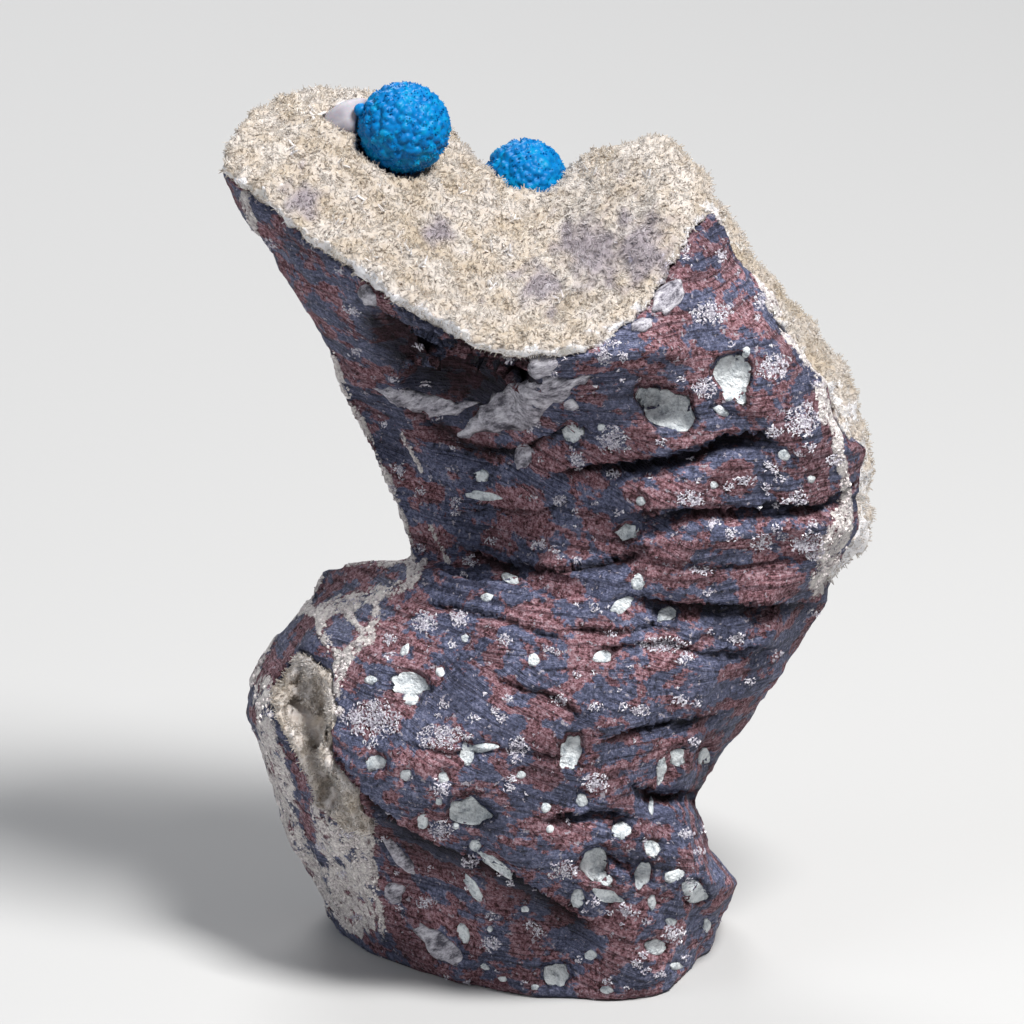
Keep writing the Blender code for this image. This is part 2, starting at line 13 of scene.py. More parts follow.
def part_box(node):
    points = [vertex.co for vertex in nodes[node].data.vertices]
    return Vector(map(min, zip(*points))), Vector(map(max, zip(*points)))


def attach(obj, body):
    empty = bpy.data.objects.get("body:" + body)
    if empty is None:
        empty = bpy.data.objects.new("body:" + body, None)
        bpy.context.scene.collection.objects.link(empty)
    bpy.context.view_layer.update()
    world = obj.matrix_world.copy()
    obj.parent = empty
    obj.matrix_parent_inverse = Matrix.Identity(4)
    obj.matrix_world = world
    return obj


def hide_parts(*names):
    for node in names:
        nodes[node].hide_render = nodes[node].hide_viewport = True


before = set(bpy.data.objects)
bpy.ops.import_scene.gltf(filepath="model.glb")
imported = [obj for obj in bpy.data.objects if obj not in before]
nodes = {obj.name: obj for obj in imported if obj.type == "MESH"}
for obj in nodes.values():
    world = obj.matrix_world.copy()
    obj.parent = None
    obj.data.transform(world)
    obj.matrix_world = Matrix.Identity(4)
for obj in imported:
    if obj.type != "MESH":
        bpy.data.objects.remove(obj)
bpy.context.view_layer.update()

# The camera
# It looks down on the display face through a long lens, from as high as the photograph does.
# Places on the face are named by the photograph's pixels, and found by their line of sight.
MM = 0.001
PICTURE_WIDTH = 1024
PIXEL = 0.106 * MM
LOOK_DOWN = math.radians(20.0)
LENS = 800.0
SENSOR = 36.0
AIM = Vector((-3.98, 0.32, 49.08)) * MM

SIGHT = Vector((0.0, math.cos(LOOK_DOWN), -math.sin(LOOK_DOWN)))
PICTURE_RIGHT = Vector((1.0, 0.0, 0.0))
PICTURE_UP = Vector((0.0, math.sin(LOOK_DOWN), math.cos(LOOK_DOWN)))
EYE = AIM - SIGHT * (PICTURE_WIDTH * PIXEL * LENS / SENSOR)

camera_data = bpy.data.cameras.new("camera")
camera_data.lens = LENS
camera_data.sensor_width = SENSOR
camera_data.clip_start = 0.01
camera_data.clip_end = 20.0
camera = bpy.data.objects.new("camera", camera_data)
camera.location = EYE
camera.rotation_euler = SIGHT.to_track_quat("-Z", "Y").to_euler()
bpy.context.scene.collection.objects.link(camera)
bpy.context.scene.camera = camera
bpy.context.scene.view_settings.view_transform = "Standard"


def seen_at(tree, px, py):
    """The spot of a surface that shows at a pixel of the photograph, and its normal, or None beside it."""
    across = (px - PICTURE_WIDTH / 2) * PIXEL
    up = (PICTURE_WIDTH / 2 - py) * PIXEL
    aim = AIM + PICTURE_RIGHT * across + PICTURE_UP * up
    spot, normal, _, _ = tree.ray_cast(EYE, (aim - EYE).normalized())
    return (spot, normal) if spot else None


def pixel_of(spot):
    """The pixel of the photograph where a spot shows."""
    ray = spot - EYE
    scale = LENS / SENSOR * PICTURE_WIDTH / ray.dot(SIGHT)
    return PICTURE_WIDTH / 2 + ray.x * scale, PICTURE_WIDTH / 2 - ray.dot(PICTURE_UP) * scale


# The light
# Soft studio light: a large lamp from the upper right and front, a weaker one from the left, one from behind
# and a pale room round them.
LAMPS_AIM = Vector((0.0, 0.0, 0.045))
LAMPS = [
    # name, place and size in metres, power in watts and colour
    ("key_lamp", (0.2, -0.2, 0.56), 0.16, 5.8, (1.0, 0.99, 0.97)),
    ("fill_lamp", (-0.44, -0.3, 0.36), 0.3, 0.8, (0.92, 0.96, 1.0)),
    ("back_lamp", (-0.1, 0.45, 0.4), 0.25, 1.6, (1.0, 1.0, 1.0)),
]
ROOM_COLOUR = (0.86, 0.9, 1.0, 1.0)
ROOM_STRENGTH = 0.14
for name, place, size, power, colour in LAMPS:
    lamp = bpy.data.lights.new(name, "AREA")
    lamp.size = size
    lamp.energy = power
    lamp.color = colour
    holder = bpy.data.objects.new(name, lamp)
    holder.location = place
    holder.rotation_euler = (LAMPS_AIM - Vector(place)).to_track_quat("-Z", "Y").to_euler()
    bpy.context.scene.collection.objects.link(holder)
room = bpy.data.worlds.new("pale_room")
room.use_nodes = True
room.node_tree.nodes["Background"].inputs["Color"].default_value = ROOM_COLOUR
room.node_tree.nodes["Background"].inputs["Strength"].default_value = ROOM_STRENGTH
bpy.context.scene.world = room

# The floor
# A plain pale tabletop, on which the specimen stands unheld on the flat break at its lower end. It is no part
# of the specimen.
FLOOR_SIZE = 3.0
FLOOR_PALE = (0.5, 0.5, 0.5, 1.0)


def shader_node(tree, kind, inputs=(), **settings):
    """A node with its settings, and its inputs as values or as other nodes' outputs."""
    made = tree.nodes.new(kind)
    for name, value in settings.items():
        setattr(made, name, value)
    for socket, value in dict(inputs).items():
        if isinstance(value, bpy.types.NodeSocket):
            tree.links.new(value, made.inputs[socket])
        else:
            made.inputs[socket].default_value = value
    return made


def new_material(name, **inputs):
    """A material with its Principled shader's plain values, its node tree and that shader."""
    material = bpy.data.materials.new(name)
    material.use_nodes = True
    shader = material.node_tree.nodes["Principled BSDF"]
    for socket, value in inputs.items():
        shader.inputs[socket.replace("_", " ")].default_value = value
    return material, material.node_tree, shader


def feed(shader, **inputs):
    """Leads an output to each of a shader's inputs that are named."""
    for socket, output in inputs.items():
        shader.id_data.links.new(output, shader.inputs[socket.replace("_", " ")])


def new_piece(name, bm, material, smooth=False):
    """A piece of the scene from a mesh in code."""
    mesh = bpy.data.meshes.new(name)
    bm.to_mesh(mesh)
    bm.free()
    mesh.materials.append(material)
    mesh.polygons.foreach_set("use_smooth", [smooth] * len(mesh.polygons))
    piece = bpy.data.objects.new(name, mesh)
    bpy.context.scene.collection.objects.link(piece)
    return piece


floor_material, _, _ = new_material("pale_tabletop", Base_Color=FLOOR_PALE, Roughness=0.9)
bm = bmesh.new()
bmesh.ops.create_grid(bm, x_segments=1, y_segments=1, size=FLOOR_SIZE / 2)
floor = new_piece("tabletop", bm, floor_material)

# The basalt
# A broken piece of old lava, brick red where it is oxidised and slate blue where it isn't, in ragged patches.
# It broke in steps, one ledge over another, and the break cut its filled gas bubbles open.
# Shade is painted into its colour: under the ledges' lips, on the walls of the larger pits, and in the hollows
# under the dish's lip and the swoosh.
MERGE_DISTANCE = 0.001 * MM
ROCK_FACE_SIZE = 0.4 * MM
ROCK_SOFTENING = 2
SHARE_KEPT = 0.7
FACING_AWAY = 0.2
# The relief's sizes are in millimetres.
LUMP_WIDTH = 4.5
LUMP_HEIGHT = 0.36
LAYER_THICKNESS = 2.1
LAYER_TREAD = 0.85
LAYER_RISER = 0.15
LAYER_STEP = 0.26
LAYERS_DIP = 0.16
LAYER_BEND = 0.8
LAYER_BEND_WIDTH = 13.0
LAYER_PATCH = (9.0, 9.0, 5.0)
FOOT_HEIGHT = 1.2
RED = (0.265, 0.122, 0.142, 1.0)
RED_DARK = (0.05, 0.019, 0.021, 1.0)
RED_PALE = (0.5, 0.33, 0.37, 1.0)
BLUE = (0.11, 0.125, 0.215, 1.0)
BLUE_DARK = (0.022, 0.022, 0.036, 1.0)
BLUE_PALE = (0.33, 0.34, 0.48, 1.0)
FLECK_PALE = (0.45, 0.41, 0.47, 1.0)
RED_DULLNESS = (0.9, 0.9, 0.9, 1.0)
BLUE_DULLNESS = (0.6, 0.6, 0.6, 1.0)
STREAK_DARK = (0.36, 0.35, 0.38, 1.0)
SHADE_DARK = (0.6, 0.6, 0.64, 1.0)
SHADE_PALE = (1.3, 1.3, 1.3, 1.0)
SWARM_WHITE = (0.72, 0.69, 0.78, 1.0)
PAINTED_SHADE_DARK = (0.1, 0.08, 0.1, 1.0)
BLACK = (0.0, 0.0, 0.0, 1.0)
WHITE = (1.0, 1.0, 1.0, 1.0)
THIN_LAYERS = (1.0, 1.0, 0.03)
SWIRL_SCALE = 70.0
# The side of a square, a lip's height and raggedness and a ledge's fading ends are in pixels.
SQUARE = 16
LIP_HEIGHT = 6.0
LIP_RAGGED = 3.0
LIP_RISE = 0.06
LEDGE_ENDS = 22.0
LEDGE_CURVE = 1.3
LEDGES = [
    # depth in millimetres, drop in pixels, then the lip across and down in the photograph
    (3.2, 74, [(372, 306), (400, 320), (440, 338), (480, 352), (515, 360), (532, 358)]),
    (1.8, 26, [(550, 476), (586, 465), (641, 460), (701, 449), (724, 435), (760, 434), (782, 443)]),
    (1.2, 20, [(620, 516), (687, 509), (737, 508), (792, 504), (822, 505), (864, 476)]),
    (1.1, 32, [(630, 597), (690, 604), (742, 606), (830, 602)]),
    (1.2, 22, [(600, 744), (616, 737), (642, 727), (667, 722), (722, 714)]),
    (1.6, 20, [(628, 782), (642, 788), (662, 792), (691, 792), (706, 788)]),
    (1.1, 18, [(540, 820), (558, 816), (575, 815), (606, 811), (638, 818)]),
    (1.0, 14, [(586, 850), (601, 855), (618, 860), (648, 872)]),
    (0.9, 20, [(490, 674), (516, 683), (545, 690), (565, 702), (600, 724)]),
    (1.2, 70, [(312, 724), (324, 740), (360, 790), (394, 821), (428, 841), (501, 869), (600, 930)]),
    (1.1, 24, [(455, 545), (500, 560), (540, 566), (600, 560), (650, 546)]),
    (0.5, 12, [(645, 558), (700, 566), (760, 564), (820, 550)]),
    (0.8, 18, [(590, 650), (660, 640), (720, 652), (778, 648)]),
    (1.3, 26, [(408, 402), (450, 440), (478, 452), (520, 448), (568, 428)]),
    (0.7, 16, [(560, 625), (610, 632), (660, 622), (700, 628)]),
    (0.7, 14, [(440, 520), (480, 508), (530, 512), (575, 500)]),
    (0.8, 16, [(420, 600), (470, 606), (520, 622), (570, 640)]),
    (0.6, 14, [(400, 740), (450, 752), (520, 748), (580, 764)]),
]
FILLED_BUBBLES = [
    # across and down in the photograph, width, height, turn in degrees
    (668, 408, 54, 40, 22), (648, 398, 26, 18, 30), (733, 378, 37, 51, -12), (721, 411, 18, 10, 30),
    (573, 433, 20, 18, 0), (601, 427, 8, 8, 0), (784, 455, 12, 12, 0), (811, 479, 8, 8, 0),
    (714, 485, 8, 8, 0), (628, 532, 24, 16, -15), (638, 582, 14, 16, 0), (622, 605, 26, 12, -35),
    (666, 614, 20, 14, -30), (641, 501, 10, 10, 0), (602, 657, 20, 13, -20), (570, 752, 22, 35, 15),
    (661, 770, 10, 26, 10), (677, 757, 16, 18, 15), (704, 757, 12, 18, 15), (582, 800, 12, 12, 0),
    (621, 830, 20, 18, 0), (594, 862, 26, 34, 0), (603, 878, 22, 14, 35), (652, 849, 16, 20, -20),
    (642, 875, 16, 30, 15), (674, 876, 24, 13, -20), (694, 891, 28, 22, 20), (578, 898, 14, 20, 0),
    (608, 896, 28, 13, 18), (652, 902, 8, 16, 0), (671, 922, 12, 8, 0), (655, 947, 22, 16, 0),
    (707, 925, 8, 14, 0), (591, 955, 14, 10, 0), (607, 990, 14, 8, 0), (556, 975, 27, 24, 0),
    (469, 812, 40, 26, 8), (423, 822, 12, 16, 0), (546, 808, 10, 10, 0), (550, 829, 8, 8, 0),
    (521, 775, 10, 8, 0), (443, 778, 12, 12, 0), (475, 845, 12, 12, 0), (495, 864, 40, 11, 35),
    (474, 889, 10, 30, -35), (464, 933, 12, 20, -20), (525, 909, 8, 6, 0), (503, 979, 9, 6, 0),
    (485, 967, 10, 6, 30), (676, 966, 14, 8, 0), (409, 684, 39, 21, 5), (411, 699, 17, 14, 0),
    (440, 672, 10, 10, 0), (405, 650, 8, 14, 30), (371, 680, 12, 10, 0), (301, 671, 14, 10, 0),
    (376, 763, 20, 17, 0), (406, 775, 12, 12, 0), (467, 754, 16, 22, 10), (483, 748, 28, 9, -10),
    (534, 660, 12, 12, 0), (465, 638, 8, 8, 0), (482, 476, 16, 14, 0), (484, 496, 38, 9, 8),
    (510, 578, 20, 10, 20), (487, 597, 12, 10, 0), (535, 987, 8, 6, 0), (439, 802, 7, 7, 0),
    (456, 826, 7, 7, 0), (651, 806, 5, 20, 0), (490, 929, 6, 6, 0), (746, 352, 8, 12, 20),
]
PIT_WALL = 3.5
PIT_STEEPNESS = 0.17
PIT_DEPTH_SHARE = 0.034
PIT_SHADE = 0.75
SHADED_PIT = 12
OUTLINE_RAGGED = 0.42
OUTLINE_BENDS = 1.6
HOLE_STEEPNESS = 1.8
POCKET_HOLES = [
    # across, down, width and height in the photograph, and depth in millimetres
    (296, 712, 30, 34, 3.5), (318, 728, 30, 44, 3.0), (330, 795, 26, 52, 1.6),
]
LATH_SWARMS = [
    # across, down, half width and half height in the photograph
    (775, 366, 15, 14), (704, 388, 12, 11), (711, 312, 21, 12), (802, 421, 18, 16), (604, 357, 8, 8),
    (721, 256, 8, 7), (684, 248, 7, 6), (612, 439, 15, 14), (690, 498, 14, 8), (762, 542, 11, 9),
    (731, 534, 8, 7), (713, 524, 7, 6), (662, 644, 24, 8), (774, 432, 8, 7), (376, 718, 24, 20),
    (352, 717, 12, 7), (441, 737, 25, 13), (517, 750, 11, 14), (425, 622, 13, 11), (458, 618, 11, 9),
    (441, 789, 10, 9), (441, 830, 12, 10), (474, 718, 6, 5), (508, 700, 6, 5), (502, 718, 6, 5),
    (595, 783, 13, 10), (564, 870, 14, 10), (674, 934, 12, 10), (686, 834, 8, 6), (625, 912, 8, 6),
    (491, 944, 10, 8), (637, 964, 8, 5), (539, 931, 7, 6), (426, 902, 12, 6), (471, 861, 9, 7),
    (600, 340, 10, 14), (577, 458, 9, 7), (560, 500, 8, 6), (540, 545, 9, 6), (700, 570, 12, 5),
    (470, 560, 8, 6), (390, 640, 8, 6), (560, 700, 10, 6), (640, 710, 9, 6), (400, 470, 5, 8),
    (505, 640, 9, 6), (745, 480, 12, 5), (835, 460, 10, 6), (800, 545, 10, 8), (735, 640, 10, 5),
    (680, 700, 8, 6), (795, 500, 14, 6), (812, 545, 12, 16), (760, 300, 6, 10), (530, 420, 10, 12),
]
# Painted shade: the share of a ledge's drop that is darkened under its lip, and the darkest shade painted in
# the hollows.
PAINTED_SHADE_SHARE = 0.55
PAINTED_SHADE_DARKEST = 1.0
# Painted shadow: in the hollow under the dish's lip, and in a thin line under the swoosh.
PAINTED_HOLLOW_SHADOWS = [
    # across, down and half width in the photograph, along each hollow's length
    [(372, 320, 10), (405, 350, 24), (440, 370, 34), (478, 384, 34), (510, 388, 24), (532, 378, 8)],
    [(440, 424, 5), (468, 446, 5), (520, 454, 4)],
]
COAT_RISE = 0.5 * MM
COAT_THICKEST = 0.68
COAT_EDGE = 0.4
COAT_RED = (0.2, 0.13, 0.13, 1.0)
COAT_GREY = (0.62, 0.56, 0.57, 1.0)
COAT_PALE = (0.92, 0.87, 0.84, 1.0)
COAT = [
    # across, down and half width of each pale band in the photograph, along its length
    [(425, 560, 3), (411, 585, 5), (393, 588, 7), (373, 596, 8), (342, 606, 8), (319, 613, 8), (304, 609, 4)],
    [(373, 596, 4), (377, 619, 5), (368, 639, 6), (350, 652, 7), (340, 667, 8), (332, 688, 9), (320, 704, 9)],
    [(319, 615, 5), (324, 637, 5), (334, 652, 5), (344, 660, 4)],
    [(345, 606, 4), (352, 618, 3), (362, 632, 3)],
    [(328, 565, 2), (360, 564, 3), (409, 564, 3), (411, 585, 4)],
    [(322, 575, 3), (307, 606, 3), (278, 629, 3), (258, 667, 4), (249, 684, 4)],
    [(331, 352, 3), (345, 390, 4), (362, 425, 4), (380, 465, 4), (398, 505, 4), (410, 545, 4), (412, 566, 4)],
    [(246, 196, 6), (250, 216, 4), (257, 235, 3)],
    [(401, 434, 2), (412, 452, 2), (422, 472, 2)],
    [(430, 526, 2), (440, 545, 2), (449, 563, 2)],
    [(266, 684, 10), (262, 712, 7), (270, 745, 10), (280, 780, 12), (286, 815, 12), (296, 850, 14)],
    [(292, 690, 12), (312, 706, 12), (338, 712, 5)],
    [(296, 850, 14), (312, 880, 16), (336, 905, 16), (362, 925, 12)],
    [(330, 810, 18), (338, 835, 22), (348, 865, 22), (358, 895, 18), (368, 920, 10)],
    [(352, 800, 5), (360, 830, 5), (370, 861, 5), (378, 900, 4), (384, 938, 4)],
    [(704, 206, 4), (726, 222, 4), (746, 252, 5), (774, 300, 8), (792, 336, 6), (806, 356, 6), (818, 370, 6)],
    [(818, 370, 6), (824, 410, 7), (836, 436, 6), (846, 490, 5), (842, 525, 12), (828, 560, 12)],
    [(828, 560, 12), (815, 590, 6)],
]


def even_copy(node, size, softening, share_kept=1.0):
    """A softened copy of a solid in even faces of this size, which are thinned out where they face away."""
    bm = bmesh.new()
    bm.from_mesh(nodes[node].data)
    bmesh.ops.remove_doubles(bm, verts=bm.verts, dist=MERGE_DISTANCE)
    mesh = bpy.data.meshes.new("rough_" + node)
    bm.to_mesh(mesh)
    bm.free()
    rough = bpy.data.objects.new("rough_" + node, mesh)
    bpy.context.scene.collection.objects.link(rough)
    remesh = rough.modifiers.new("even_faces", "REMESH")
    remesh.mode = "VOXEL"
    remesh.voxel_size = size
    evaluated = rough.evaluated_get(bpy.context.evaluated_depsgraph_get())
    even_mesh = bpy.data.meshes.new_from_object(evaluated)
    rough.modifiers.clear()
    rough.data = even_mesh
    if share_kept < 1.0:
        away = [vert.index for vert in even_mesh.vertices if vert.normal.dot(SIGHT) > FACING_AWAY]
        rough.vertex_groups.new(name="away").add(away, 1.0, "REPLACE")
        thinned = rough.modifiers.new("thinned", "DECIMATE")
        thinned.ratio = share_kept
        thinned.vertex_group = "away"
    even = bmesh.new()
    even.from_mesh(rough.evaluated_get(bpy.context.evaluated_depsgraph_get()).to_mesh())
    bpy.data.objects.remove(rough)
    every_axis = {"use_axis_x": True, "use_axis_y": True, "use_axis_z": True}
    for _ in range(softening):
        bmesh.ops.smooth_vert(even, verts=even.verts, factor=0.5, **every_axis)
    even.normal_update()
    return even


def rock_relief(spot):
    """How far the broken surface stands off its solid at a spot, in millimetres: its lumps and its layers."""
    lumps = noise.fractal(spot / LUMP_WIDTH, 0.9, 2.1, 4) * LUMP_HEIGHT
    bend = noise.noise(spot / LAYER_BEND_WIDTH)
    layer = (spot.z + LAYERS_DIP * spot.x) / LAYER_THICKNESS + LAYER_BEND * bend
    within = layer - math.floor(layer)
    step = 0.5 - within
    if within >= LAYER_TREAD:
        step = (within - LAYER_TREAD) / LAYER_RISER - (LAYER_TREAD - 0.5)
    patches = noise.noise(Vector([place / width for place, width in zip(spot, LAYER_PATCH)]))
    return lumps + LAYER_STEP * step * max(0.0, min(1.0, 0.35 + 1.3 * patches))


def by_square(bm):
    """The vertices that face the camera, with their pixels, by the square of the photograph they show in."""
    squares = defaultdict(list)
    for vert in bm.verts:
        if vert.normal.dot(SIGHT) < 0.0:
            px, py = pixel_of(vert.co)
            squares[int(px // SQUARE), int(py // SQUARE)].append((vert, px, py))
    return squares


def in_box(squares, left, top, right, bottom):
    """The vertices that show in a box of the photograph."""
    for column in range(int(left // SQUARE), int(right // SQUARE) + 1):
        for row in range(int(top // SQUARE), int(bottom // SQUARE) + 1):
            yield from squares[column, row]


def break_ledge(squares, layer, depth, drop, lip):
    """Sets the face back under a lip, brings the lip a little forward, and marks painted shade under the lip.
    """
    for (x0, y0), (x1, y1) in zip(lip, lip[1:]):
        for vert, px, py in in_box(squares, x0, min(y0, y1) - LIP_HEIGHT, x1, max(y0, y1) + drop):
            if not x0 <= px < x1:
                continue
            ragged = LIP_RAGGED * noise.noise(Vector((px / 7.0, py / 40.0, 0.0)))
            below = py - (y0 + (y1 - y0) * (px - x0) / (x1 - x0)) + ragged
            fade = min(1.0, (px - lip[0][0]) / LEDGE_ENDS, (lip[-1][0] - px) / LEDGE_ENDS)
            if 0.0 <= below < drop:
                vert.co -= vert.normal * depth * fade * (1.0 - below / drop) ** LEDGE_CURVE * MM
                painted_shading = depth * fade * (1.0 - below / (PAINTED_SHADE_SHARE * drop))
                vert[layer] = max(vert[layer], min(1.0, painted_shading))
            elif -LIP_HEIGHT < below < 0.0:
                vert.co += vert.normal * LIP_RISE * depth * fade * (1.0 + below / LIP_HEIGHT) * MM


def wobble(centre, direction):
    """How far out an uneven outline round a centre runs in a direction, beside the even one."""
    own = Vector((*centre, 0.0)) * 0.37
    return 1.0 + OUTLINE_RAGGED * noise.noise(direction.normalized().to_3d() * OUTLINE_BENDS + own)


def sink_bubble(squares, layer, across, down, width, height, turn):
    """Sinks the face where a bubble was cut open, with a steep wall all round, and marks painted shade on the
    wall of a larger pit.
    """
    reach = max(width, height) * 0.7 + PIT_WALL
    back = Matrix.Rotation(-math.radians(turn), 2)
    depth = PIT_DEPTH_SHARE * min(width, height) * MM
    for vert, px, py in in_box(squares, across - reach, down - reach, across + reach, down + reach):
        aside = back @ Vector((px - across, py - down))
        unit = Vector((aside.x / (width / 2 + PIT_WALL), aside.y / (height / 2 + PIT_WALL)))
        inside = 1.0 - unit.length / wobble((across, down), unit)
        vert.co -= vert.normal * depth * min(1.0, max(0.0, inside) / PIT_STEEPNESS)
        if min(width, height) > SHADED_PIT:
            vert[layer] = max(vert[layer], PIT_SHADE - abs(inside / PIT_STEEPNESS - 0.4))


def sink_hole(squares, across, down, width, height, depth):
    """Sinks the face away from the viewer in an uneven, round-bottomed hole."""
    for vert, px, py in in_box(squares, across - width, down - height, across + width, down + height):
        unit = Vector(((px - across) / width * 2, (py - down) / height * 2))
        inside = 1.0 - unit.length / wobble((across, down), unit)
        vert.co += SIGHT * depth * MM * math.sin(math.pi / 2 * max(0.0, min(1.0, inside * HOLE_STEEPNESS)))


def spread_band(squares, layer, stations, most):
    """Marks how far each vertex lies inside a band of colour or of painted shade: most in its middle and half
    at its edge.
    """
    for (x0, y0, half0), (x1, y1, half1) in zip(stations, stations[1:]):
        reach = 2 * max(half0, half1)
        along = Vector((x1 - x0, y1 - y0))
        box = (min(x0, x1) - reach, min(y0, y1) - reach, max(x0, x1) + reach, max(y0, y1) + reach)
        for vert, px, py in in_box(squares, *box):
            aside = Vector((px - x0, py - y0))
            share = max(0.0, min(1.0, aside.dot(along) / along.length_squared))
            distance = (aside - along * share).length / (half0 + (half1 - half0) * share)
            vert[layer] = max(vert[layer], min(most, 1.0 - distance / 2))


def mark_swarm(squares, layer, across, down, half_width, half_height):
    """Marks how far each vertex lies inside a swarm of laths: 1 in its middle and half at its edge."""
    box = (across - 2 * half_width, down - 2 * half_height, across + 2 * half_width, down + 2 * half_height)
    for vert, px, py in in_box(squares, *box):
        distance = math.hypot((px - across) / half_width, (py - down) / half_height)
        vert[layer] = max(vert[layer], 1.0 - distance / 2)


def marked(tree, name):
    """The factor that the mesh carries under a name."""
    return shader_node(tree, "ShaderNodeAttribute", attribute_name=name).outputs["Fac"]


def noise_on(tree, scale, detail=3.0, roughness=0.6, stretch=(1.0, 1.0, 1.0), turn=(0.0, 0.0, 0.0), warp=0.0):
    """A noise on the piece's own coordinates, with so many features to a metre, stretched and turned."""
    coordinates = shader_node(tree, "ShaderNodeTexCoord").outputs["Object"]
    if warp:
        swirls = {"Vector": coordinates, "Scale": SWIRL_SCALE, "Detail": 1.0}
        swirl = shader_node(tree, "ShaderNodeTexNoise", swirls)
        swung = {0: swirl.outputs["Color"], 1: (warp,) * 3, 2: coordinates}
        coordinates = shader_node(tree, "ShaderNodeVectorMath", swung, operation="MULTIPLY_ADD").outputs[0]
    stretched = {"Vector": coordinates, "Scale": stretch, "Rotation": turn}
    mapped = shader_node(tree, "ShaderNodeMapping", stretched, vector_type="TEXTURE")
    inputs = {"Vector": mapped.outputs[0], "Scale": scale, "Detail": detail, "Roughness": roughness}
    return shader_node(tree, "ShaderNodeTexNoise", inputs).outputs["Fac"]


def colour_ramp(tree, factor, *stops):
    """Colours by a factor, from (place, colour) stops."""
    ramp = shader_node(tree, "ShaderNodeValToRGB", {"Fac": factor})
    elements = ramp.color_ramp.elements
    elements[0].position, elements[0].color = stops[0]
    elements[1].position, elements[1].color = stops[-1]
    for place, colour in stops[1:-1]:
        elements.new(place).color = colour
    return ramp.outputs["Color"]


def mixed(tree, factor, a, b, blend_type="MIX"):
    """Colour a with colour b over it by a factor."""
    colours = {0: factor, 6: a, 7: b}
    return shader_node(tree, "ShaderNodeMix", colours, data_type="RGBA", blend_type=blend_type).outputs[2]


def add_bump(tree, height, strength, distance, normal=None):
    """A bump from a height, on top of another bump if one is given."""
    inputs = {"Height": height, "Strength": strength, "Distance": distance}
    if normal:
        inputs["Normal"] = normal
    return shader_node(tree, "ShaderNodeBump", inputs).outputs["Normal"]


basalt, tree, shader = new_material("mottled_basalt", Specular_IOR_Level=0.3)
flattened = {"stretch": (1.25, 1.25, 0.85), "turn": (0.0, 0.2, 0.0)}
patches = noise_on(tree, 270.0, detail=7.0, roughness=0.62, warp=4.0 * MM, **flattened)
is_blue = colour_ramp(tree, patches, (0.49, BLACK), (0.508, WHITE))
grain = noise_on(tree, 2700.0, 2.0, 0.75)
clumps = noise_on(tree, 1000.0, 4.0, 0.7)
both = mixed(tree, 0.4, grain, clumps)
reds = colour_ramp(tree, both, (0.39, RED_DARK), (0.49, RED), (0.61, RED_PALE))
blues = colour_ramp(tree, both, (0.34, BLUE_DARK), (0.5, BLUE), (0.68, BLUE_PALE))
ground = mixed(tree, is_blue, reds, blues)
streaky = {"scale": 75.0, "detail": 5.0, "roughness": 0.65, "stretch": THIN_LAYERS, "warp": 2.0 * MM}
level_streaks = noise_on(tree, turn=(0.0, 0.03, 0.0), **streaky)
slant_streaks = noise_on(tree, turn=(0.0, 0.42, 0.0), **streaky)
where = colour_ramp(tree, noise_on(tree, 60.0, 1.0, 0.5), (0.52, BLACK), (0.56, WHITE))
streaks = mixed(tree, where, level_streaks, slant_streaks)
streak_shade = colour_ramp(tree, streaks, (0.42, STREAK_DARK), (0.48, WHITE))
shade = colour_ramp(tree, noise_on(tree, 90.0, 3.0, 0.5), (0.3, SHADE_DARK), (0.68, SHADE_PALE))
flecks = colour_ramp(tree, noise_on(tree, 1500.0, 3.0, 0.6), (0.635, BLACK), (0.67, WHITE))
shaded = mixed(tree, 0.85, mixed(tree, 1.0, ground, shade, "MULTIPLY"), streak_shade, "MULTIPLY")
speckled = mixed(tree, flecks, shaded, FLECK_PALE)
specks = mixed(tree, 0.7, marked(tree, "swarm"), noise_on(tree, 1300.0, 4.0, 0.75))
swarmed = mixed(tree, colour_ramp(tree, specks, (0.6, BLACK), (0.63, WHITE)), speckled, SWARM_WHITE)
crumbs = noise_on(tree, 400.0, 7.0, 0.75)
coated = colour_ramp(tree, mixed(tree, 0.7, marked(tree, "coat"), crumbs), (0.5, BLACK), (0.53, WHITE))
mealy = mixed(tree, 0.6, grain, clumps)
coat = colour_ramp(tree, mealy, (0.36, COAT_RED), (0.44, COAT_GREY), (0.54, COAT_PALE))
# Painted shade: darker under the ledges' lips, on the walls of the larger pits and in the hollows.
painted_shade = mixed(tree, 0.25, marked(tree, "painted_shade"), grain)
painted_shading = colour_ramp(tree, painted_shade, (0.2, WHITE), (0.8, PAINTED_SHADE_DARK))
painted = mixed(tree, 1.0, mixed(tree, coated, swarmed, coat), painted_shading, "MULTIPLY")
dullness = colour_ramp(tree, is_blue, (0.0, RED_DULLNESS), (1.0, BLUE_DULLNESS))
hackly = add_bump(tree, noise_on(tree, 1700.0, 4.0, 0.7), 1.0, 0.4 * MM)
streaked = add_bump(tree, streaks, 1.0, 1.1 * MM, hackly)
raised = add_bump(tree, coated, 0.6, 0.25 * MM, streaked)
grainy = add_bump(tree, grain, 0.9, 0.28 * MM, raised)
feed(shader, Base_Color=painted, Roughness=dullness, Normal=grainy)

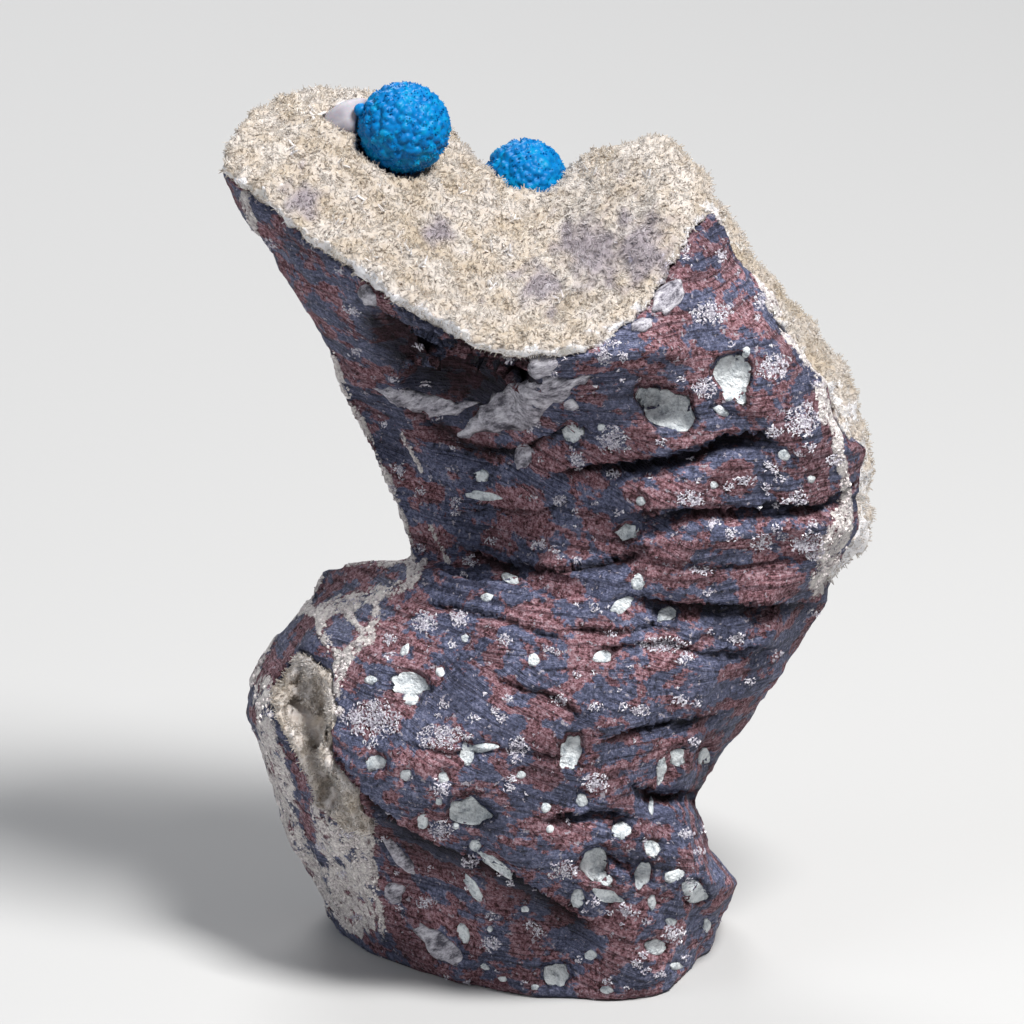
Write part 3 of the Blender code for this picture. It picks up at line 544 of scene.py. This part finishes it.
bm = even_copy("basalt_matrix", ROCK_FACE_SIZE, ROCK_SOFTENING, SHARE_KEPT)
for vert in bm.verts:
    spot = vert.co / MM
    above_foot = min(1.0, max(0.0, spot.z / FOOT_HEIGHT - 0.2))
    vert.co += vert.normal * rock_relief(spot) * above_foot * MM
bm.normal_update()
painted_shade_layer = bm.verts.layers.float.new("painted_shade")
swarm_layer = bm.verts.layers.float.new("swarm")
coat_layer = bm.verts.layers.float.new("coat")
squares = by_square(bm)
for ledge in LEDGES:
    break_ledge(squares, painted_shade_layer, *ledge)
for bubble in FILLED_BUBBLES:
    sink_bubble(squares, painted_shade_layer, *bubble)
for hole in POCKET_HOLES:
    sink_hole(squares, *hole)
squares = by_square(bm)
for stations in COAT:
    spread_band(squares, coat_layer, stations, COAT_THICKEST)
for stations in PAINTED_HOLLOW_SHADOWS:
    spread_band(squares, painted_shade_layer, stations, PAINTED_SHADE_DARKEST)
for swarm in LATH_SWARMS:
    mark_swarm(squares, swarm_layer, *swarm)
for vert in bm.verts:
    vert.co += vert.normal * COAT_RISE * max(0.0, vert[coat_layer] - COAT_EDGE)
rock_tree = BVHTree.FromBMesh(bm)
rock = new_piece("basalt", bm, basalt, smooth=True)
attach(rock, "root")
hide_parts("basalt_matrix")

# The bubble fillings
# Old gas bubbles of the lava, filled with a chalky, greenish white zeolite and cut open by the break.
# Each is a lens that lies sunk in its bubble, under the rim of the rock.
FILLING_RISE = 0.14 * MM
LARGE_FILLING = 24
FILLING_PALE = (0.76, 0.8, 0.82, 1.0)
FILLING_GREY = (0.3, 0.34, 0.38, 1.0)
ROCK_MIDDLE = (560, 600)


def on_rock(px, py):
    """The rock's spot at a pixel, or the nearest one towards its middle where the pixel lies beside it."""
    seen = seen_at(rock_tree, px, py)
    while seen is None:
        px += 2 if px < ROCK_MIDDLE[0] else -2
        py += 1 if py < ROCK_MIDDLE[1] else -1
        seen = seen_at(rock_tree, px, py)
    return seen


def lens_on_rock(bm, centre, size, turn, rise, finer=False):
    """A lens sunk in the rock, whose outline is an uneven ellipse in the photograph."""
    made = bmesh.ops.create_icosphere(bm, subdivisions=3 if finer else 2, radius=1.0)
    turned = Matrix.Rotation(math.radians(turn), 2)
    for vert in made["verts"]:
        unit = Vector(vert.co.xy)
        out = Vector((unit.x * size[0] / 2, unit.y * size[1] / 2)) * wobble(centre, unit)
        across, down = turned @ out
        spot, normal = on_rock(centre[0] + across, centre[1] + down)
        vert.co = spot + normal * vert.co.z * rise


chalky, tree, shader = new_material("chalky_zeolite", Roughness=0.7)
mealy = noise_on(tree, 900.0, 5.0, 0.72)
filling = colour_ramp(tree, mealy, (0.34, FILLING_GREY), (0.54, FILLING_PALE))
folds = add_bump(tree, noise_on(tree, 800.0, 4.0, 0.65), 1.0, 0.9 * MM)
feed(shader, Base_Color=filling, Normal=add_bump(tree, mealy, 0.5, 0.2 * MM, folds))

bm = bmesh.new()
for across, down, width, height, turn in FILLED_BUBBLES:
    is_large = max(width, height) > LARGE_FILLING
    lens_on_rock(bm, (across, down), (width, height), turn, FILLING_RISE, finer=is_large)
bmesh.ops.recalc_face_normals(bm, faces=bm.faces)
fillings = new_piece("bubble_fillings", bm, chalky, smooth=True)
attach(fillings, "root")

# The grey inclusions
# Glassy grey crystals that fill other bubbles, and the fibrous swoosh under the dish's lip, all flush with
# the break.
INCLUSION_RISE = 0.32 * MM
GREY_DARK = (0.08, 0.075, 0.1, 1.0)
GREY_PALE = (0.44, 0.42, 0.48, 1.0)
GREY_WHITE = (0.78, 0.76, 0.82, 1.0)
SWOOSH_RAGGED = 0.8
INCLUSIONS = [
    (400, 857, 13, 48, -38), (394, 892, 20, 22, 0), (439, 945, 58, 23, 43), (668, 298, 26, 38, 35),
    (641, 325, 22, 14, -20), (541, 366, 34, 26, -45), (523, 457, 17, 29, 10), (571, 405, 14, 12, 0),
    (367, 295, 16, 24, -30),
]
SWOOSH = [
    # across, down and half width in the photograph, along its length
    [(372, 388, 2), (392, 394, 8), (420, 404, 10), (450, 408, 10), (482, 403, 6)],
    [(452, 440, 4), (478, 426, 14), (505, 412, 21), (532, 400, 21), (560, 388, 15), (592, 376, 3)],
]


def band_on_rock(bm, stations, rise):
    """A low band that lies along the rock, tapering to both ends, from its places and half widths."""
    steps = 3 * len(stations)
    made = bmesh.ops.create_uvsphere(bm, u_segments=8, v_segments=steps, radius=1.0)
    for vert in made["verts"]:
        along = math.acos(max(-1.0, min(1.0, -vert.co.z))) / math.pi * (len(stations) - 1)
        index = min(int(along), len(stations) - 2)
        share = along - index
        x, y, half = (a + (b - a) * share for a, b in zip(stations[index], stations[index + 1]))
        heading = Vector(stations[index + 1][:2]) - Vector(stations[index][:2])
        aside = Vector((-heading.y, heading.x)).normalized()
        ring = Vector((vert.co.x, vert.co.y))
        fullness = 1.0 if ring.length < 0.001 else ring.length ** -0.55
        sway = SWOOSH_RAGGED * half * noise.noise(Vector((x / 9.0, y / 9.0, ring.x * 2.0)))
        offset = aside * (ring.x * fullness * half + sway)
        spot, normal = on_rock(x + offset.x, y + offset.y)
        vert.co = spot + normal * ring.y * fullness * rise


glassy_grey, tree, shader = new_material("glassy_grey", Roughness=0.35)
fibres = noise_on(tree, 700.0, 6.0, 0.78, stretch=(1.6, 1.0, 0.6), turn=(0.0, -0.5, 0.0))
greys = colour_ramp(tree, fibres, (0.4, GREY_DARK), (0.5, GREY_PALE), (0.6, GREY_WHITE))
feed(shader, Base_Color=greys, Normal=add_bump(tree, fibres, 1.0, 0.6 * MM))

bm = bmesh.new()
for across, down, width, height, turn in INCLUSIONS:
    lens_on_rock(bm, (across, down), (width, height), turn, INCLUSION_RISE, finer=True)
for stations in SWOOSH:
    band_on_rock(bm, stations, INCLUSION_RISE)
bmesh.ops.recalc_face_normals(bm, faces=bm.faces)
inclusions = new_piece("grey_inclusions", bm, glassy_grey, smooth=True)
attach(inclusions, "root")

# The white laths
# Swarms of small white laths of zeolite in the rock, broken through by its face, each flat or on edge, and
# strays between them.
LATH_LENGTH = (0.2 * MM, 0.62 * MM)
LATH_WIDTH = (0.1 * MM, 0.24 * MM)
LATH_THICKNESS = 0.34 * MM
LATH_SUNK = 0.5
LATHS_PER_PIXEL = 0.28
LARGEST_TIP = 0.5
NEEDLE_RADIUS = 0.56
NEEDLE_LIFT = 0.35
STRAY_SWARMS = 300
STRAY_BOX = (250, 240, 850, 990)
STRAY_HALF = (1.5, 5.0)
STRAY_BREADTH = 1.4
LATH_GREY = (0.34, 0.31, 0.38, 1.0)
LATH_PALE = (0.7, 0.67, 0.74, 1.0)
LATH_WHITE = (0.9, 0.89, 0.93, 1.0)


def joined_copies(unit, places):
    """A mesh in code with a copy of a small mesh at each place."""
    rest = [vert.co.copy() for vert in unit.vertices]
    bm = bmesh.new()
    for place in places:
        for vert, co in zip(unit.vertices, rest):
            vert.co = place @ co
        bm.from_mesh(unit)
    for vert, co in zip(unit.vertices, rest):
        vert.co = co
    return bm


def give_factors(piece, name, factors):
    piece.data.attributes.new(name, "FLOAT", "POINT").data.foreach_set("value", factors)


def give_tints(piece, tints):
    """Each crystal's own share of paleness, for all its corners."""
    each = len(piece.data.vertices) // len(tints)
    give_factors(piece, "tint", [tint for tint in tints for _ in range(each)])


def by_tint(tree, *stops):
    """Colours by each crystal's own tint."""
    return colour_ramp(tree, marked(tree, "tint"), *stops)


def needle_unit(taper, sides=3):
    """A small tapering prism of unit size, from just under its foot to its head."""
    bm = bmesh.new()
    lift = Matrix.Translation((0.0, 0.0, NEEDLE_LIFT))
    radii = {"radius1": NEEDLE_RADIUS, "radius2": NEEDLE_RADIUS * taper}
    bmesh.ops.create_cone(bm, cap_ends=True, segments=sides, depth=1.0, matrix=lift, **radii)
    unit = bpy.data.meshes.new("needle_unit")
    bm.to_mesh(unit)
    bm.free()
    return unit


def placed(spot, aim, turn, size, tip=0.0):
    """The place of a small crystal: its foot's spot, its aim, its turn and tip in radians, and its size."""
    faced = aim.to_track_quat("Z", "Y").to_matrix().to_4x4()
    turned = Matrix.Translation(spot) @ faced @ Matrix.Rotation(turn, 4, "Z") @ Matrix.Rotation(tip, 4, "Y")
    return turned @ Matrix.Diagonal((*size, 1.0))


def strewn_on_rock(px, py, size, chance):
    """The place of a small piece that lies in the rock's face, turned at random, or None beside the rock."""
    seen = seen_at(rock_tree, px, py)
    if seen is None:
        return None
    turn = chance.uniform(0.0, math.pi)
    return placed(*seen, turn, size, tip=chance.uniform(-LARGEST_TIP, LARGEST_TIP))


def spot_in_swarm(across, down, half_width, half_height, chance):
    """A pixel in a ragged swarm, densest in its middle."""
    angle = chance.uniform(0.0, 2.0 * math.pi)
    lobes = 1.7 * math.cos(angle) + 1.1 * math.sin(2.0 * angle)
    ragged = 1.0 + 0.5 * noise.noise(Vector((across, down, lobes)))
    reach = chance.random() ** 0.6 * ragged
    return across + half_width * reach * math.cos(angle), down + half_height * reach * math.sin(angle)


white_lath, tree, shader = new_material("white_lath", Roughness=0.3)
feed(shader, Base_Color=by_tint(tree, (0.0, LATH_GREY), (0.6, LATH_PALE), (1.0, LATH_WHITE)))

chance = random.Random(4)
left, top, right, bottom = STRAY_BOX
strays = []
for _ in range(STRAY_SWARMS):
    half = chance.uniform(*STRAY_HALF)
    strays.append((chance.uniform(left, right), chance.uniform(top, bottom), half * STRAY_BREADTH, half))
places, tints = [], []
for across, down, half_width, half_height in LATH_SWARMS + strays:
    for _ in range(int(half_width * half_height * math.pi * LATHS_PER_PIXEL)):
        px, py = spot_in_swarm(across, down, half_width, half_height, chance)
        size = (chance.uniform(*LATH_LENGTH), chance.uniform(*LATH_WIDTH), LATH_THICKNESS)
        lath = strewn_on_rock(px, py, size, chance)
        if lath:
            places.append(lath @ Matrix.Translation((0.0, 0.0, -LATH_SUNK)))
            tints.append(chance.random())
laths = new_piece("white_laths", joined_copies(needle_unit(0.7), places), white_lath)
give_tints(laths, tints)
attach(laths, "root")

# The coat's grains
# Crystal grains that stand on the pale coat of the rock: its network of veins over the lobe on the left,
# the skin under the pocket, and thin seams along the edges.
COAT_GRAIN = (0.2 * MM, 0.55 * MM)
GRAIN_BREADTH = (0.4, 0.9)
GRAIN_HEIGHT = 0.5
GRAIN_SUNK = 0.2
COAT_GRAINS_PER_PIXEL = 0.06
coat_crystal, tree, shader = new_material("coat_crystal", Roughness=0.4)
feed(shader, Base_Color=by_tint(tree, (0.0, COAT_GREY), (1.0, COAT_PALE)))

chance = random.Random(6)
places, tints = [], []
for stations in COAT:
    for (x0, y0, half0), (x1, y1, half1) in zip(stations, stations[1:]):
        length = math.hypot(x1 - x0, y1 - y0)
        for _ in range(int(length * (half0 + half1) * COAT_GRAINS_PER_PIXEL)):
            share = chance.random()
            aside = chance.uniform(-1.0, 1.0) * (half0 + (half1 - half0) * share)
            px = x0 + (x1 - x0) * share - (y1 - y0) / length * aside
            py = y0 + (y1 - y0) * share + (x1 - x0) / length * aside
            width = chance.uniform(*COAT_GRAIN)
            size = (width, width * chance.uniform(*GRAIN_BREADTH), GRAIN_HEIGHT * width)
            place = strewn_on_rock(px, py, size, chance)
            if place:
                places.append(place @ Matrix.Translation((0.0, 0.0, -GRAIN_SUNK)))
                tints.append(chance.random())
grains = new_piece("coat_grains", joined_copies(needle_unit(0.6, 4), places), coat_crystal)
give_tints(grains, tints)
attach(grains, "root")

# The druse
# A crust of stilbite, cream to pale grey, which lined the open side of a cavity. It is one sheet of
# interlocked crystals, felted all over with glassy blades under a millimetre long and some larger clear ones.
CRUST_FACE_SIZE = 0.55 * MM
CRUST_SOFTENING = 9
CLUMP_WIDTH = 1.5 * MM
CLUMP_HEIGHT = 0.55
BALL_BED = 0.6 * MM
BALL_BED_REACH = 0.6
SEAM_REACH = 1.2 * MM
SEAM_SUNK = 0.1
SEAM_SIDE = 0.3
OPEN_GAP = 1.2 * MM
CLEAR_OF_FACE = 0.05
DISH_SLOPE = 0.35
RIM_SIDE = 0.1
BALL_KEPT_BARE = 0.97
LENS_KEPT_BARE = 0.7
BLADE_LENGTH = (0.32, 0.78)
BLADE_WIDTH = (0.11, 0.23)
BLADE_FLATNESS = 0.55
BLADE_TAPER = 0.55
BLADE_UPRIGHT = 0.5
BLADE_SWAY = 1.2
BLADE_LEAN = 0.95
LOWEST_BLADE = 0.15
TUFT_WIDTH = 1.1 * MM
LARGEST_TINT = 0.8
DISH_BLADES = 23000
RIM_BLADES = 12000
RIM_BLADE_SIZE = 0.75
BACK_BLADES = 12000
BACK_BLADE_SIZE = 1.2
LOWEST_TINT = 0.45
RIM_TINT_SPAN = 0.65
RIM_TINT = 1.0
DISH_TINT = 0.5
CREAM = (0.59, 0.505, 0.42, 1.0)
PALE = (0.66, 0.595, 0.54, 1.0)
TAN = (0.53, 0.44, 0.34, 1.0)
LAVENDER = (0.35, 0.305, 0.33, 1.0)
OWN_DARK = (0.9, 0.89, 0.87, 1.0)
OWN_PALE = (1.1, 1.12, 1.16, 1.0)
OWN_WHITE = (1.75, 1.9, 2.2, 1.0)
GREYER_ZONES = [
    # across, down and radius in the photograph
    (640, 250, 44), (590, 250, 42), (540, 285, 26), (305, 200, 22), (440, 232, 18),
]
LARGE_BLADES = [
    (255, 105), (315, 115), (339, 165), (357, 200), (385, 208), (339, 222), (406, 250), (373, 257),
    (420, 268), (512, 222), (490, 247), (506, 250), (490, 285), (591, 172), (290, 150), (460, 190),
    (560, 300), (650, 180),
]
LARGE_BLADE = (1.1, 0.34)
LARGE_BLADES_EACH = 5
LARGE_SPREAD = 5.0
LARGE_LEAN = 0.8
LARGE_TINT = 1.0


def crust_material(name, **inputs):
    """Glassy cream crystal, from tan to pale and greyish lavender, and its own shade for each crystal."""
    material, tree, shader = new_material(name, **inputs)
    zones = noise_on(tree, 260.0, 4.0, 0.6)
    ground = colour_ramp(tree, zones, (0.34, TAN), (0.45, CREAM), (0.6, PALE))
    greyness = marked(tree, "greyness")
    own = by_tint(tree, (0.0, OWN_DARK), (0.45, WHITE), (0.8, OWN_PALE), (1.0, OWN_WHITE))
    greyed = mixed(tree, greyness, ground, LAVENDER)
    grain = add_bump(tree, noise_on(tree, 1500.0, 4.0, 0.7), 1.0, 0.4 * MM)
    feed(shader, Base_Color=mixed(tree, 1.0, greyed, own, "MULTIPLY"), Normal=grain)
    return material


def greyness_at(spot):
    """How far the crust turns greyish lavender at a spot, by its place in the photograph."""
    px, py = pixel_of(spot)
    ragged = 1.0 + 0.9 * noise.noise(Vector((px / 14.0, py / 14.0, 3.0)))
    nearest = min(math.hypot(px - across, py - down) / radius for across, down, radius in GREYER_ZONES)
    return max(0.0, min(1.0, 1.6 * (1.0 - nearest * ragged)))


def give_greyness(piece):
    give_factors(piece, "greyness", [greyness_at(vert.co) for vert in piece.data.vertices])


def any_way(chance, reach=1.0):
    return Vector([chance.uniform(-reach, reach) for axis in range(3)])


def blade_at(spot, aim, length, width, chance):
    """The place of one blade, from its foot towards its aim."""
    size = (width * MM, width * BLADE_FLATNESS * MM, length * MM)
    return placed(spot, aim, chance.uniform(0.0, math.pi), size)


def blades_on(faces, count, chance, keep_out, size=1.0):
    """Places for blades strewn over faces, each leaning its own way, and their tints."""
    places, tints = [], []
    areas = [face.calc_area() for face in faces]
    for face in chance.choices(faces, weights=areas, k=count):
        corners = [vert.co for vert in face.verts]
        shares = [chance.random() for corner in corners]
        spot = sum((corner * share for corner, share in zip(corners, shares)), Vector()) / sum(shares)
        if any((spot - centre).length < radius for centre, radius in keep_out):
            continue
        sway = Vector([noise.noise(spot / TUFT_WIDTH + Vector((axis * 17.0, 0.0, 0.0))) for axis in range(3)])
        aim = face.normal * BLADE_UPRIGHT + sway * BLADE_SWAY + any_way(chance) * BLADE_LEAN
        if aim.dot(face.normal) < LOWEST_BLADE:
            aim += face.normal * (2 * LOWEST_BLADE - aim.dot(face.normal))
        length = chance.uniform(*BLADE_LENGTH) * size
        width = chance.uniform(*BLADE_WIDTH) * size
        places.append(blade_at(spot, aim, length, width, chance))
        tints.append(LARGEST_TINT * chance.random())
    return places, tints


def felt(name, places, tints):
    """The blades at these places as one piece."""
    blades = new_piece(name, joined_copies(blade_unit, places), blade_glass)
    give_tints(blades, tints)
    give_greyness(blades)
    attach(blades, "root")


def is_outside(face):
    """Whether a face of the crust is open to the air, and not its underside against the rock."""
    start = face.calc_center_median() + face.normal * CLEAR_OF_FACE * MM
    return rock_tree.ray_cast(start, face.normal, OPEN_GAP)[0] is None


def raise_clumps(bm, width, height, shift):
    """Raises and sinks a crust's face in clumps this wide, and so many millimetres high."""
    for vert in bm.verts:
        clumps = noise.fractal(vert.co / width + Vector((shift, 0.0, 0.0)), 0.7, 2.1, 3)
        vert.co += vert.normal * height * clumps * MM
    bm.normal_update()


def middle_and_radius(name):
    """The middle and the radius of a round node."""
    low, high = (Vector(corner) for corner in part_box(name))
    return (low + high) / 2, max(high - low) / 2


glass = {
    "Roughness": 0.25, "IOR": 1.5, "Transmission_Weight": 0.15, "Subsurface_Weight": 0.5,
    "Subsurface_Scale": 0.45 * MM, "Subsurface_Radius": (1.0, 0.95, 0.9),
}
crust = crust_material("stilbite_crust", **glass)
blade_glass = crust_material("stilbite_blades", **glass)

bm = even_copy("stilbite_druse", CRUST_FACE_SIZE, CRUST_SOFTENING)
balls = [middle_and_radius("cavansite_ball_large"), middle_and_radius("cavansite_ball_small")]
lens_middle, lens_radius = middle_and_radius("calcite_crystal")
for centre, radius in balls:
    for vert in bm.verts:
        near = 1.0 - ((vert.co - centre).length / radius - 1.0) / BALL_BED_REACH
        vert.co.z -= BALL_BED * max(0.0, min(1.0, near))
bm.normal_update()
for vert in bm.verts:
    spot, normal, _, distance = rock_tree.find_nearest(vert.co, SEAM_REACH)
    if spot and vert.normal.dot(SIGHT) < SEAM_SIDE:
        vert.co = vert.co.lerp(spot - normal * SEAM_SUNK * MM, 1.0 - distance / SEAM_REACH)
bm.normal_update()
raise_clumps(bm, CLUMP_WIDTH, CLUMP_HEIGHT, 0.0)

keep_out = [(centre, radius * BALL_KEPT_BARE) for centre, radius in balls]
keep_out.append((lens_middle, lens_radius * LENS_KEPT_BARE))
open_faces = [face for face in bm.faces if is_outside(face)]
dish_faces = [face for face in open_faces if face.normal.z > DISH_SLOPE]
steep_faces = [face for face in open_faces if face.normal.z <= DISH_SLOPE]
rim_faces = [face for face in steep_faces if face.normal.dot(SIGHT) < RIM_SIDE]
back_faces = [face for face in steep_faces if face.normal.dot(SIGHT) >= RIM_SIDE]
blade_unit = needle_unit(BLADE_TAPER)
chance = random.Random(8)
dish_places, dish_tints = blades_on(dish_faces, DISH_BLADES, chance, keep_out)
rim_places, rim_tints = blades_on(rim_faces, RIM_BLADES, chance, keep_out, RIM_BLADE_SIZE)
rim_tints = [LOWEST_TINT + RIM_TINT_SPAN * tint for tint in rim_tints]
back_places, back_tints = blades_on(back_faces, BACK_BLADES, chance, keep_out, BACK_BLADE_SIZE)
crust_tree = BVHTree.FromBMesh(bm)
for across, down in LARGE_BLADES:
    for _ in range(LARGE_BLADES_EACH):
        px, py = (middle + chance.uniform(-LARGE_SPREAD, LARGE_SPREAD) for middle in (across, down))
        seen = seen_at(crust_tree, px, py)
        if seen:
            aim = seen[1] + any_way(chance) * LARGE_LEAN
            dish_places.append(blade_at(seen[0], aim, *LARGE_BLADE, chance))
            dish_tints.append(LARGE_TINT)
is_rim = [vert.normal.z < DISH_SLOPE and vert.normal.dot(SIGHT) < RIM_SIDE for vert in bm.verts]
druse = new_piece("druse_crust", bm, crust, smooth=True)
give_tints(druse, [RIM_TINT if rim else DISH_TINT for rim in is_rim])
give_greyness(druse)
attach(druse, "root")
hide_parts("stilbite_druse")
felt("dish_blades", dish_places, dish_tints)
felt("rim_blades", rim_places, rim_tints)
felt("back_blades", back_places, back_tints)

# The pocket
# A second cavity low on the left. Its lining of stilbite grew on the cavity's wall, in the same blades, which
# point into the hollow.
LINING_FACE_SIZE = 0.3 * MM
LINING_SOFTENING = 3
LINING_TINT = 0.85
POCKET_CLUMP_WIDTH = 1.3 * MM
POCKET_CLUMP_HEIGHT = 0.5
POCKET_BLADES = 4400
POCKET_BLADE_SIZE = 0.9
POCKET_TINT_SPAN = 0.6
POCKET_SIDE = 0.2
CLEAR_OF_LINING = 0.3
bm = even_copy("pocket_crystals", LINING_FACE_SIZE, LINING_SOFTENING)
raise_clumps(bm, POCKET_CLUMP_WIDTH, POCKET_CLUMP_HEIGHT, 3.0)
squares = by_square(bm)
for hole in POCKET_HOLES:
    sink_hole(squares, *hole)
bm.normal_update()
in_sight = []
for face in bm.faces:
    hidden, _, _, _ = rock_tree.ray_cast(face.calc_center_median() - SIGHT * CLEAR_OF_LINING * MM, -SIGHT)
    if face.normal.dot(SIGHT) < POCKET_SIDE and hidden is None:
        in_sight.append(face)
places, tints = blades_on(in_sight, POCKET_BLADES, random.Random(9), [], POCKET_BLADE_SIZE)
tints = [LOWEST_TINT + POCKET_TINT_SPAN * tint for tint in tints]
lining = new_piece("pocket_lining", bm, crust, smooth=True)
give_tints(lining, [LINING_TINT])
give_greyness(lining)
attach(lining, "root")
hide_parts("pocket_crystals")
felt("pocket_blades", places, tints)

# The blue balls
# Cavansite: each ball is a burst of fine blue prisms from one centre, grown together into rounded nubs. Both
# grew on the crust, whose blades stand up round their feet.
BALL_FULLNESS = 1.05
BALL_FINENESS = 6
NUB_WIDTH = 0.85 * MM
NUB_HEIGHT = 0.06
NUB_REACH = 0.62
NUB_UNEVEN = 0.045
NUB_TOP = 0.985
SMALL_NUB_HEIGHT = 0.012
PRISMS_PER_NUB = 4
PRISM_LENGTH = 0.7 * MM
PRISM_STRETCH = 1.17
PRISM_WIDTH = (0.12 * MM, 0.26 * MM)
PRISM_HEADS = (0.965, 1.015)
PRISM_SPREAD = 0.4
PRISM_LEAN = 0.8
SMALL_NUBS = 0.35 * MM
SATELLITE = (361, 110)
SATELLITE_RADIUS = 0.75 * MM
SATELLITE_NUBS = 9
BODY_TINT = 0.5
BALL_BLUE = (0.0, 0.15, 0.42, 1.0)
BALL_DEEP = (0.0, 0.12, 0.36, 1.0)
BALL_CYAN = (0.0, 0.23, 0.46, 1.0)
OWN_DIM = (0.9, 0.9, 0.92, 1.0)
OWN_BRIGHT = (1.12, 1.16, 1.1, 1.0)


def nub_directions(count, chance):
    """Directions spread evenly round a ball, each swayed a little."""
    directions = []
    for index in range(count):
        height = 1.0 - 2.0 * (index + 0.5) / count
        angle = index * math.pi * (3.0 - math.sqrt(5.0))
        spread = math.sqrt(1.0 - height**2)
        even = Vector((spread * math.cos(angle), spread * math.sin(angle), height))
        directions.append((even + any_way(chance, 0.1)).normalized())
    return directions


def nubbed_ball(bm, centre, radius, nubs, subdivisions):
    """A ball whose surface rises in a rounded, uneven nub in each direction."""
    made = bmesh.ops.create_icosphere(bm, subdivisions=subdivisions, radius=1.0)
    reach = NUB_WIDTH / radius * NUB_REACH
    for vert in made["verts"]:
        out = vert.co.normalized()
        nearest = max(nubs, key=out.dot)
        away = math.acos(min(1.0, nearest.dot(out))) / reach
        rise = math.sqrt(max(0.0, 1.0 - away**2))
        small = noise.noise(out * radius / SMALL_NUBS) * SMALL_NUB_HEIGHT
        small += noise.noise(nearest * 9.0) * NUB_UNEVEN
        vert.co = centre + out * radius * (NUB_TOP - NUB_HEIGHT * (1.0 - rise) + small)


cavansite, tree, shader = new_material("cavansite", Roughness=0.4, Specular_IOR_Level=0.16)
speckle = noise_on(tree, 700.0, 4.0, 0.6)
ground = colour_ramp(tree, speckle, (0.36, BALL_DEEP), (0.5, BALL_BLUE), (0.66, BALL_CYAN))
blue = mixed(tree, 1.0, ground, by_tint(tree, (0.0, OWN_DIM), (1.0, OWN_BRIGHT)), "MULTIPLY")
feed(shader, Base_Color=blue, Normal=add_bump(tree, noise_on(tree, 2600.0, 3.0, 0.6), 0.35, 0.12 * MM))

for name, seed in (("cavansite_ball_large", 31), ("cavansite_ball_small", 32)):
    chance = random.Random(seed)
    centre, radius = middle_and_radius(name)
    radius *= BALL_FULLNESS
    nubs = nub_directions(int(4.0 * math.pi * radius**2 / NUB_WIDTH**2), chance)
    bm = bmesh.new()
    nubbed_ball(bm, centre, radius, nubs, BALL_FINENESS)
    if name == "cavansite_ball_large":
        across, down = Vector(SATELLITE) - Vector(pixel_of(centre))
        beside = centre + (PICTURE_RIGHT * across - PICTURE_UP * down) * PIXEL
        small_nubs = nub_directions(SATELLITE_NUBS, chance)
        nubbed_ball(bm, beside, SATELLITE_RADIUS, small_nubs, BALL_FINENESS - 2)
    ball = new_piece(name + "_body", bm, cavansite, smooth=True)
    give_tints(ball, [BODY_TINT])
    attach(ball, "root")
    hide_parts(name)
    places, tints = [], []
    for nub in nubs:
        for _ in range(PRISMS_PER_NUB):
            lean = any_way(chance) * NUB_WIDTH / radius * PRISM_SPREAD
            aim = (nub + lean).normalized()
            foot = centre + aim * (radius * chance.uniform(*PRISM_HEADS) - PRISM_LENGTH)
            turn = chance.uniform(0.0, math.pi)
            width = chance.uniform(*PRISM_WIDTH)
            size = (width, width, PRISM_LENGTH * PRISM_STRETCH)
            places.append(placed(foot, aim + lean * PRISM_LEAN, turn, size))
            tints.append(chance.random())
    prisms = new_piece(name + "_prisms", joined_copies(needle_unit(0.6, 4), places), cavansite)
    give_tints(prisms, tints)
    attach(prisms, "root")

# The calcite
# One smooth, rounded crystal of grey calcite, cloudy and nearly opaque. It grew on the crust, close beside
# the larger ball.
LENS_FACE_SIZE = 0.22 * MM
LENS_SOFTENING = 4
CALCITE_DARK = (0.29, 0.27, 0.31, 1.0)
CALCITE_PALE = (0.42, 0.4, 0.44, 1.0)
cloudy = {"Roughness": 0.5, "Subsurface_Weight": 0.3, "Subsurface_Scale": 0.8 * MM}
calcite, tree, shader = new_material("cloudy_calcite", **cloudy)
clouded = colour_ramp(tree, noise_on(tree, 300.0, 4.0, 0.6), (0.35, CALCITE_DARK), (0.65, CALCITE_PALE))
feed(shader, Base_Color=clouded, Normal=add_bump(tree, noise_on(tree, 1400.0, 3.0, 0.6), 0.2, 0.1 * MM))
bm = even_copy("calcite_crystal", LENS_FACE_SIZE, LENS_SOFTENING)
lens = new_piece("calcite_lens", bm, calcite, smooth=True)
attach(lens, "root")
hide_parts("calcite_crystal")
